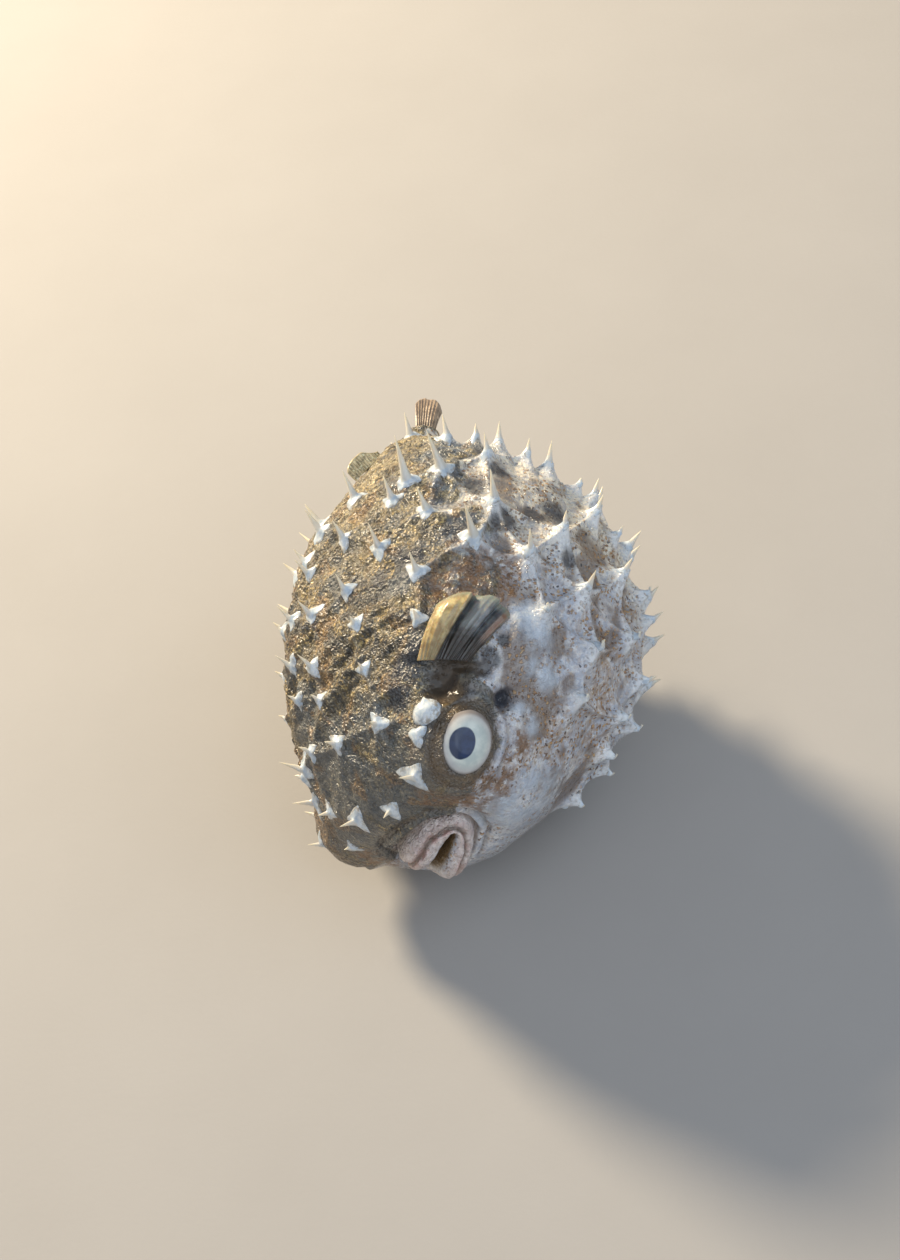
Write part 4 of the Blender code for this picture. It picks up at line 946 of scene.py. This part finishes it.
def build_spines():
    """Each spine: a straight ivory cone on a thin three-cornered plate that lies on the skin."""
    around = 24
    skin = SKIN_Q.reshape(-1, 3)
    verts, faces, alongs, plates, bellies = [], [], [], [], []
    rng = np.random.default_rng(7)
    angles = 2 * math.pi * np.arange(around) / around
    between = np.abs(((3 * angles / (2 * math.pi) + 0.5) % 1.0) - 0.5) * 2
    for k in range(len(SP)):
        p, n, d, length = SP[k], SN[k], SD[k], SL[k]
        belly = float(smooth(45, 90, abs(SDEG[k])))
        button = 0.0
        for spot, size in ((ROUND_SCUTE, 1.0), (SMALL_SCUTE, 0.55)):
            q = surface(*spot)[0]
            if min(np.linalg.norm(p - q), np.linalg.norm(p - q * [1, -1, 1])) < 1.0:
                button = size
        fwd = np.array([1.0, 0, 0]) - n * n[0]
        fwd /= np.linalg.norm(fwd)
        side = np.cross(n, fwd)
        lean = rng.normal(0, 0.04, 2)
        d = d + lean[0] * fwd + lean[1] * side
        d /= np.linalg.norm(d)
        spin = rng.normal(0, 0.25)
        size = 0.9 + 0.2 * rng.random()
        core = min(max(0.088 * length + 0.14, 0.36), 0.76) * size
        foot = (1.75 + 0.5 * rng.random() - 1.0 * belly) * min(1.0, 0.50 + length / 8.0)
        foot *= 1 + 0.35 * float(smooth(16, 27, p[0])) * (1 - belly)
        if min(np.linalg.norm(p - surface(*WIDE_PLATE)[0]), np.linalg.norm(p - surface(*WIDE_PLATE)[0] * [1, -1, 1])) < 1.0:
            foot *= 1.35
        lift = tent_height(k) * 0.9
        reach = np.array([0.40 + 0.60 * (1 - t) ** 1.9 for t in between])
        reach = reach * (1 + 0.22 * np.cos(angles + rng.uniform(0, 6.3)))
        levels = ((1.05, -0.40), (1.0, -0.04), (0.95, 0.10 - 0.06 * belly), (0.84, 0.15 - 0.07 * belly), (0.68, 0.19 - 0.06 * belly),
                  (0.50, 0.25 - 0.04 * belly), (0.32, 0.34), (0.15, 0.46))
        if button:
            core, foot, lift = 0.25, 2.35 * button ** 0.35, 0.2
            reach = 0.95 + 0.05 * np.cos(2 * angles + 1) if button == 1 else 0.52 + 0.48 * (1 - between) ** 1.1
            levels = ((1.04, -1.1), (1.04, 0.02), (0.99, 0.42 * button), (0.88, 0.80 * button), (0.70, 1.06 * button), (0.48, 1.20 * button),
                      (0.25, 1.28 * button))
        close = skin[np.abs(skin - p).max(1) < 6.5]
        base = p + d * lift
        local = np.stack([(close - base) @ fwd, (close - base) @ side, (close - base) @ n], -1)
        local = local[np.abs(local[:, 2]) < 4.0]
        start = len(verts)
        rows = 0
        turn = angles + spin
        for share, up in levels:
            r = core * 1.15 + foot * reach * share
            x, y = r * np.cos(turn), r * np.sin(turn)
            far = (local[None, :, 0] - x[:, None]) ** 2 + (local[None, :, 1] - y[:, None]) ** 2
            pick = np.argsort(far, axis=1)[:, :5]
            w = 1 / (np.take_along_axis(far, pick, 1) + 0.02)
            h = (local[pick, 2] * w).sum(1) / w.sum(1)
            if button:
                h = h * 0 + h.mean()
            elif share < 0.4:
                h = h * share / 0.4 + (1 - share / 0.4) * h.mean()
            for j in range(around):
                verts.append(base + fwd * x[j] + side * y[j] + n * (h[j] + up))
                alongs.append(0.0)
                plates.append(float(share))
                bellies.append(belly)
            rows += 1
        top = float(h.mean()) + levels[-1][1]
        run = max(length - lift, 0.8)
        if button:
            tip_at = verts[start + (rows - 1) * around]
            centre = base + n * (top + 0.03)
            # the worn spine lies over to one side of the button
            for j in range(around):
                for i in range(2, rows):
                    v = verts[start + i * around + j]
                    off = v - base
                    tooth = math.exp(-(((off @ fwd) + 1.35) / 0.42) ** 2 - (((off @ side) * math.copysign(1, p[1]) - 0.25) / 0.42) ** 2)
                    verts[start + i * around + j] = v + (n * 0.35 - fwd * 0.85) * tooth * (button == 1)
        else:
            for t in np.concatenate([[0.0, 0.05, 0.12], np.linspace(0.2, 0.97, 9)]):
                rise = top + 0.25 + (run - top - 0.25) * t
                bend = math.exp(-(t / 0.10) ** 1.5)
                centre = base + d * rise * (1 - bend) + (n * 0.5 + d * 0.5) * rise * bend
                ax = d * (1 - bend) + n * bend
                ax /= np.linalg.norm(ax)
                e1 = fwd - ax * (fwd @ ax)
                e1 /= np.linalg.norm(e1)
                e2 = np.cross(ax, e1)
                r = core * (1 - t) ** 0.92 * (1 + 0.18 * bend) + 0.02
                for j in range(around):
                    rr = r * (1 + 0.07 * math.cos(3 * angles[j]) * (1 - t))
                    verts.append(centre + rr * (math.cos(turn[j]) * e1 + math.sin(turn[j]) * e2))
                    alongs.append(float(0.08 + 0.92 * t))
                    plates.append(0.0)
                    bellies.append(belly)
                rows += 1
            centre = base + d * run
        verts.append(centre)
        alongs.append(0.0 if button else 1.0)
        plates.append(0.2 if button else 0.0)
        bellies.append(belly)
        tip = len(verts) - 1
        for i in range(rows - 1):
            for j in range(around):
                a0 = start + i * around + j
                a1 = start + i * around + (j + 1) % around
                faces.append((a0, a1, a1 + around, a0 + around))
        for j in range(around):
            faces.append((start + (rows - 1) * around + j, start + (rows - 1) * around + (j + 1) % around, tip))
        faces.append(tuple(start + j for j in reversed(range(around))))
    verts = np.array(verts)
    W = world(verts)
    W[:, 2] = np.maximum(W[:, 2], 0.0001)
    mesh = bpy.data.meshes.new("spines")
    mesh.from_pydata(W.tolist(), [], faces)
    for name, values in (("along", alongs), ("plate", plates), ("belly", bellies)):
        mesh.attributes.new(name, "FLOAT", "POINT").data.foreach_set("value", np.array(values, np.float32))
    mesh.attributes.new("fish", "FLOAT_VECTOR", "POINT").data.foreach_set("vector", verts.astype(np.float32).ravel())
    mesh.shade_smooth()
    obj = bpy.data.objects.new("spines", mesh)
    bpy.context.scene.collection.objects.link(obj)
    fix_normals(obj)
    return obj


def fix_normals(obj):
    import bmesh
    bm = bmesh.new()
    bm.from_mesh(obj.data)
    bmesh.ops.scale(bm, vec=(1000, 1000, 1000), verts=bm.verts)
    bmesh.ops.recalc_face_normals(bm, faces=bm.faces)
    bmesh.ops.scale(bm, vec=(0.001, 0.001, 0.001), verts=bm.verts)
    bm.to_mesh(obj.data)
    bm.free()


# ---------------------------------------------------------------- eyes
def build_eye(side, word):
    look = LOOKS[side]
    ahead = np.array([1.0, 0, 0]) - look * look[0]
    ahead /= np.linalg.norm(ahead)
    high = np.cross(look, ahead)
    centre = EYE_AT * [1, side, 1] - look * EYE_SUNK
    rings, seg = ((40, 96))
    verts, disc, pupil, faces = [], [], [], []
    for i in range(1, rings):
        lat = math.pi * i / rings
        for j in range(seg):
            a = 2 * math.pi * j / seg
            rad = math.sin(lat)
            # a dead eye: the cornea is flatter than round and sags at the pupil
            dome = math.cos(lat)
            if dome > 0:
                dome = dome - 0.10 * math.exp(-(rad / 0.40) ** 2)
            q = centre + look * EYE_THICK * dome + ahead * EYE_LONG * rad * math.cos(a) + high * EYE_HIGH * rad * math.sin(a)
            verts.append(q)
            disc.append(rad / 0.87 if math.cos(lat) > 0 else 1.4)
            pupil.append(math.hypot((rad * math.cos(a) - PUPIL_OFF[0]) / 1.06, rad * math.sin(a) * -side - PUPIL_OFF[1]) / 0.83 if math.cos(lat) > 0 else 1.4)
    verts.append(centre + look * EYE_THICK * 0.90)
    disc.append(0.0)
    pupil.append(math.hypot(*PUPIL_OFF) / 0.83)
    verts.append(centre - look * EYE_THICK)
    disc.append(1.4)
    pupil.append(1.4)
    top, bottom = len(verts) - 2, len(verts) - 1
    for i in range(rings - 2):
        for j in range(seg):
            a0, a1 = i * seg + j, i * seg + (j + 1) % seg
            faces.append((a0, a1, a1 + seg, a0 + seg))
    for j in range(seg):
        faces.append((top, (j + 1) % seg, j))
        faces.append((bottom, (rings - 2) * seg + j, (rings - 2) * seg + (j + 1) % seg))
    verts = np.array(verts)
    mesh = bpy.data.meshes.new("eyeball_" + word)
    mesh.from_pydata(world(verts).tolist(), [], faces)
    mesh.attributes.new("disc", "FLOAT", "POINT").data.foreach_set("value", np.array(disc, np.float32))
    mesh.attributes.new("pupil", "FLOAT", "POINT").data.foreach_set("value", np.array(pupil, np.float32))
    mesh.attributes.new("fish", "FLOAT_VECTOR", "POINT").data.foreach_set("vector", verts.astype(np.float32).ravel())
    mesh.shade_smooth()
    obj = bpy.data.objects.new("eyeball_" + word, mesh)
    bpy.context.scene.collection.objects.link(obj)
    fix_normals(obj)
    return obj


# ---------------------------------------------------------------- fins
def build_fin(name, point, across, along, rays, thick, ray_height=0.16, ragged=0.04, seed=1):
    """A closed thin fin from point(u, v): both faces carry the rays as ridges, and the free edge is slightly ragged."""
    u, v = np.linspace(0, 1, across + 1), np.linspace(0, 1, along + 1)
    rng = np.random.default_rng(seed)
    jag = np.interp(u, np.linspace(0, 1, rays + 1), 1 - ragged * rng.random(rays + 1))
    mid = np.array([[point(a, b * (jag[i] if b > 0 else 1)) for b in v] for i, a in enumerate(u)])
    du, dv = np.gradient(mid, axis=0), np.gradient(mid, axis=1)
    n = np.cross(du, dv)
    n /= np.linalg.norm(n, axis=2)[..., None] + 1e-12
    U, V = np.meshgrid(u, v, indexing="ij")
    ray = 0.5 + 0.5 * np.cos(2 * np.pi * U * rays)
    ray = ray ** 1.5 * (1 - 0.6 * smooth(0.8, 1.0, V))
    joints = 1 - 0.35 * smooth(0.6, 1.0, 0.5 + 0.5 * np.cos(2 * np.pi * V * 14)) * smooth(0.3, 0.6, V)
    half = thick * (0.5 + 0.35 * (1 - V)) + ray_height * ray * joints * (1 - 0.5 * V)
    edge = np.minimum(smooth(0, 0.03, U), smooth(1, 0.97, U)) * smooth(1.0, 0.965, V)
    half = half * (0.25 + 0.75 * edge)
    wav = 0.10 * fbm(mid / 2.2, 90 + seed, 2)
    top, bottom = mid + n * (half + wav)[..., None], mid - n * (half - wav)[..., None]
    R, C = U.shape
    verts = np.concatenate([top.reshape(-1, 3), bottom.reshape(-1, 3)])
    idx = lambda i, j, s: s * R * C + i * C + j
    faces = []
    for i in range(R - 1):
        for j in range(C - 1):
            faces.append((idx(i, j, 0), idx(i + 1, j, 0), idx(i + 1, j + 1, 0), idx(i, j + 1, 0)))
            faces.append((idx(i, j + 1, 1), idx(i + 1, j + 1, 1), idx(i + 1, j, 1), idx(i, j, 1)))
    for i in range(R - 1):
        faces.append((idx(i + 1, 0, 0), idx(i, 0, 0), idx(i, 0, 1), idx(i + 1, 0, 1)))
        faces.append((idx(i, C - 1, 0), idx(i + 1, C - 1, 0), idx(i + 1, C - 1, 1), idx(i, C - 1, 1)))
    for j in range(C - 1):
        faces.append((idx(0, j, 0), idx(0, j + 1, 0), idx(0, j + 1, 1), idx(0, j, 1)))
        faces.append((idx(R - 1, j + 1, 0), idx(R - 1, j, 0), idx(R - 1, j, 1), idx(R - 1, j + 1, 1)))
    mesh = bpy.data.meshes.new(name)
    W = world(verts)
    mesh.from_pydata(W.tolist(), [], faces)
    for key, val in (("ray", ray), ("along", V), ("across", U)):
        mesh.attributes.new(key, "FLOAT", "POINT").data.foreach_set("value", np.tile(val.reshape(-1), 2).astype(np.float32))
    mesh.attributes.new("fish", "FLOAT_VECTOR", "POINT").data.foreach_set("vector", verts.astype(np.float32).ravel())
    mesh.shade_smooth()
    obj = bpy.data.objects.new(name, mesh)
    bpy.context.scene.collection.objects.link(obj)
    fix_normals(obj)
    return obj


def pectoral(side):
    root = FIN_ROOT
    deg = math.degrees(math.atan2(root[1], root[2] - 2.4))
    root, n = surface(root[0], deg)
    back = np.array([-1.0, 0, 0])
    back = back - n * (back @ n)
    back /= np.linalg.norm(back)
    dorsal = np.cross(n, back)
    dorsal = dorsal if dorsal[2] > 0 else -dorsal

    us = np.array([0.0, 0.10, 0.22, 0.31, 0.36, 0.43, 0.54, 0.66, 0.76, 0.86, 0.93, 1.0])
    lifts = np.array([0.5, 1.9, 3.3, 3.2, 1.5, 0.8, 2.1, 2.2, 1.0, 1.7, 1.6, 0.5])
    slides = np.array([0.0, 0.2, -0.4, -1.2, -0.5, 0.4, -0.3, -0.8, 0.1, -0.3, -0.4, 0.0])

    def ray(u, v):
        across = PECTORAL_ROOT[0] + (PECTORAL_ROOT[1] - PECTORAL_ROOT[0]) * u
        a = math.radians(PECTORAL_LEAN[0] + (PECTORAL_LEAN[1] - PECTORAL_LEAN[0]) * u)
        top, mid, low = PECTORAL_RAYS
        length = (top * (1 - u) * (1 - 2 * u) + 4 * mid * u * (1 - u) - low * u * (1 - 2 * u))
        skin, out = surface(root[0] + PECTORAL_AHEAD - length * v * math.cos(a) * 0.97, deg - math.degrees((across + length * v * math.sin(a)) / 30.5))
        one = np.array([u])
        grow = smooth(-0.1, 0.75, v) * (1 - 0.30 * smooth(0.75, 1.0, v))
        lift = 0.5 + grow * float(pchip(us, lifts, one)[0])
        slide = float(pchip(us, slides, one)[0]) * grow
        p = skin + out * lift + dorsal * slide
        return p * [1, side, 1]

    return ray


def median_fin(x0, x1, deg, height, lean, sideways):
    def ray(u, v):
        p, n = surface(x0 + (x1 - x0) * u, deg)
        n = n * [1, 0, 1]
        n /= np.linalg.norm(n)
        tall = height * (0.42 + 0.58 * math.sin(math.pi * (0.10 + 0.80 * u) ** 0.8)) * (1 - 0.75 * smooth(0.55, 1.0, u)) * smooth(-0.25, 0.12, u)
        d = n + np.array([-1.0, 0, 0]) * lean * (u - 0.2) + np.array([0, sideways * v, 0])
        d /= np.linalg.norm(d)
        return p + n * (0.55 - 0.9 * (1 - v)) + d * tall * v
    return ray


def caudal(u, v):
    spread = u - 0.5
    back = np.array([-1.0, 0, 0])
    bend = DOWN - back * (DOWN @ back)
    bend /= np.linalg.norm(bend)
    droop = 0.45
    a = droop * v
    length = 10.6 * (1 - 0.25 * (2 * spread) ** 4)
    wide = 3.4 + (5.8 - 3.4) * v
    p = np.array([-46.9, 0.0, 13.1]) + (back * math.sin(a) + bend * (1 - math.cos(a))) * length / droop
    p[2] += spread * wide
    p[1] += 0.35 * math.sin(2 * math.pi * u) * v
    p[0] += 1.0 * (1 - v)
    return p


# ---------------------------------------------------------------- build
skin, SKIN_Q, SKIN_N = build_skin()
skin.data.materials.append(skin_material())
spines = build_spines()
spines.data.materials.append(spine_material())
eyes = {}
eye_mat = eye_material()
for side, word in ((1, "left"), (-1, "right")):
    eyes[word] = build_eye(side, word)
    eyes[word].data.materials.append(eye_mat)

pectoral_mat = pectoral_material()
golden_mat = median_material("dorsal_membrane", (0.34, 0.27, 0.13), (0.92, 0.78, 0.46), 0.85, (0.42, 0.34, 0.20))
grey_mat = median_material("tail_membrane", (0.19, 0.135, 0.095), (0.44, 0.32, 0.21), 0.25, (0.36, 0.27, 0.19))
fins = {
    "pectoral_fin_left": build_fin("fin_pectoral_left", pectoral(1), 132, 56, 16, 0.26, 0.09, seed=3),
    "pectoral_fin_right": build_fin("fin_pectoral_right", pectoral(-1), 132, 56, 16, 0.26, 0.09, seed=4),
    "dorsal_fin": build_fin("fin_dorsal", median_fin(-32.0, -39.3, 0.0, 2.5, 0.5, 0.15), 80, 26, 13, 0.40, seed=5),
    "anal_fin": build_fin("fin_anal", median_fin(-32.0, -37.0, 180.0, 4.6, 0.7, 0.2), 60, 30, 11, 0.36, seed=6),
    "caudal_fin": build_fin("fin_caudal", caudal, 60, 50, 9, 0.34, seed=7),
}
for node, obj in fins.items():
    obj.data.materials.append(pectoral_mat if "pectoral" in node else golden_mat if node == "dorsal_fin" else grey_mat)

for piece, slot in [(skin, "skin"), (spines, "skin")] + [(o, "fin") for o in fins.values()] + [(o, "eye") for o in eyes.values()]:
    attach(piece, "root")
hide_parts("head", "trunk", "tail_stalk")
for node, obj in fins.items():
    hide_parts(node)
for word, obj in eyes.items():
    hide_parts("eye_" + word)


# ---------------------------------------------------------------- floor, light, camera
def floor_piece():
    m = Nodes("pale_floor")
    geo = m.new("ShaderNodeTexCoord")
    n = m.noise(geo.outputs["Object"], 22.0, 5, 0.6)
    col = m.mix(n, (0.34, 0.325, 0.31), (0.38, 0.365, 0.35))
    m.set(Base_Color=col, Roughness=0.85, Normal=m.bump(m.noise(geo.outputs["Object"], 900.0, 2), 0.0001, 0.25))
    mesh = bpy.data.meshes.new("floor")
    mesh.from_pydata([(-3, -3, 0), (3, -3, 0), (3, 3, 0), (-3, 3, 0)], [], [(0, 1, 2, 3)])
    mesh.materials.append(m.mat)
    obj = bpy.data.objects.new("floor", mesh)
    obj.location.z = -0.00005
    bpy.context.scene.collection.objects.link(obj)
    return obj


floor_piece()


def area_light(name, direction, size, power, colour, distance=0.9):
    data = bpy.data.lights.new(name, "AREA")
    data.shape = "DISK"
    data.size = size
    data.energy = power
    data.color = colour
    obj = bpy.data.objects.new(name, data)
    d = Vector(direction).normalized()
    target = Vector((0, 0, 0.035))
    obj.location = target + d * distance
    obj.rotation_euler = d.to_track_quat("Z", "Y").to_euler()
    bpy.context.scene.collection.objects.link(obj)


area_light("key_warm", (-0.82, 0.72, 0.66), 0.20, 17.5, (1.0, 0.84, 0.60))
area_light("fill_cool", (0.85, -0.30, 0.95), 1.0, 3.8, (0.74, 0.86, 1.0))
area_light("front_soft", (-0.10, -1.0, 0.9), 1.2, 2.6, (0.96, 0.97, 1.0))

wld = bpy.data.worlds.new("studio")
bpy.context.scene.world = wld
wld.use_nodes = True
bg = wld.node_tree.nodes["Background"]
bg.inputs["Color"].default_value = (0.84, 0.90, 1.0, 1)
bg.inputs["Strength"].default_value = 0.30
bpy.context.scene.view_settings.view_transform = "Standard"


def camera():
    """Looks down at the fish from 50 degrees, slightly rolled, with the ball's middle a little right of and below the picture's middle."""
    right = np.array([0.987, 0.097, -0.126])
    up = np.array([0.0045, 0.776, 0.630])
    right /= np.linalg.norm(right)
    up -= right * (up @ right)
    up /= np.linalg.norm(up)
    out = np.cross(right, up)
    origin = world(np.zeros(3))
    data = bpy.data.cameras.new("camera")
    data.sensor_width = 36.0
    data.lens = 2430.0 / 1260.0 * 36.0
    data.clip_start, data.clip_end = 0.01, 20
    obj = bpy.data.objects.new("camera", data)
    rot = Matrix(np.stack([right, up, out], 1).tolist())
    aim = Vector((17.0, -37.0, -2430.0)).normalized()
    fix = aim.rotation_difference(Vector((0, 0, -1))).to_matrix()
    obj.matrix_world = Matrix.Translation(Vector(origin) + Vector(out) * 0.450) @ (rot @ fix).to_4x4()
    bpy.context.scene.collection.objects.link(obj)
    bpy.context.scene.camera = obj


camera()
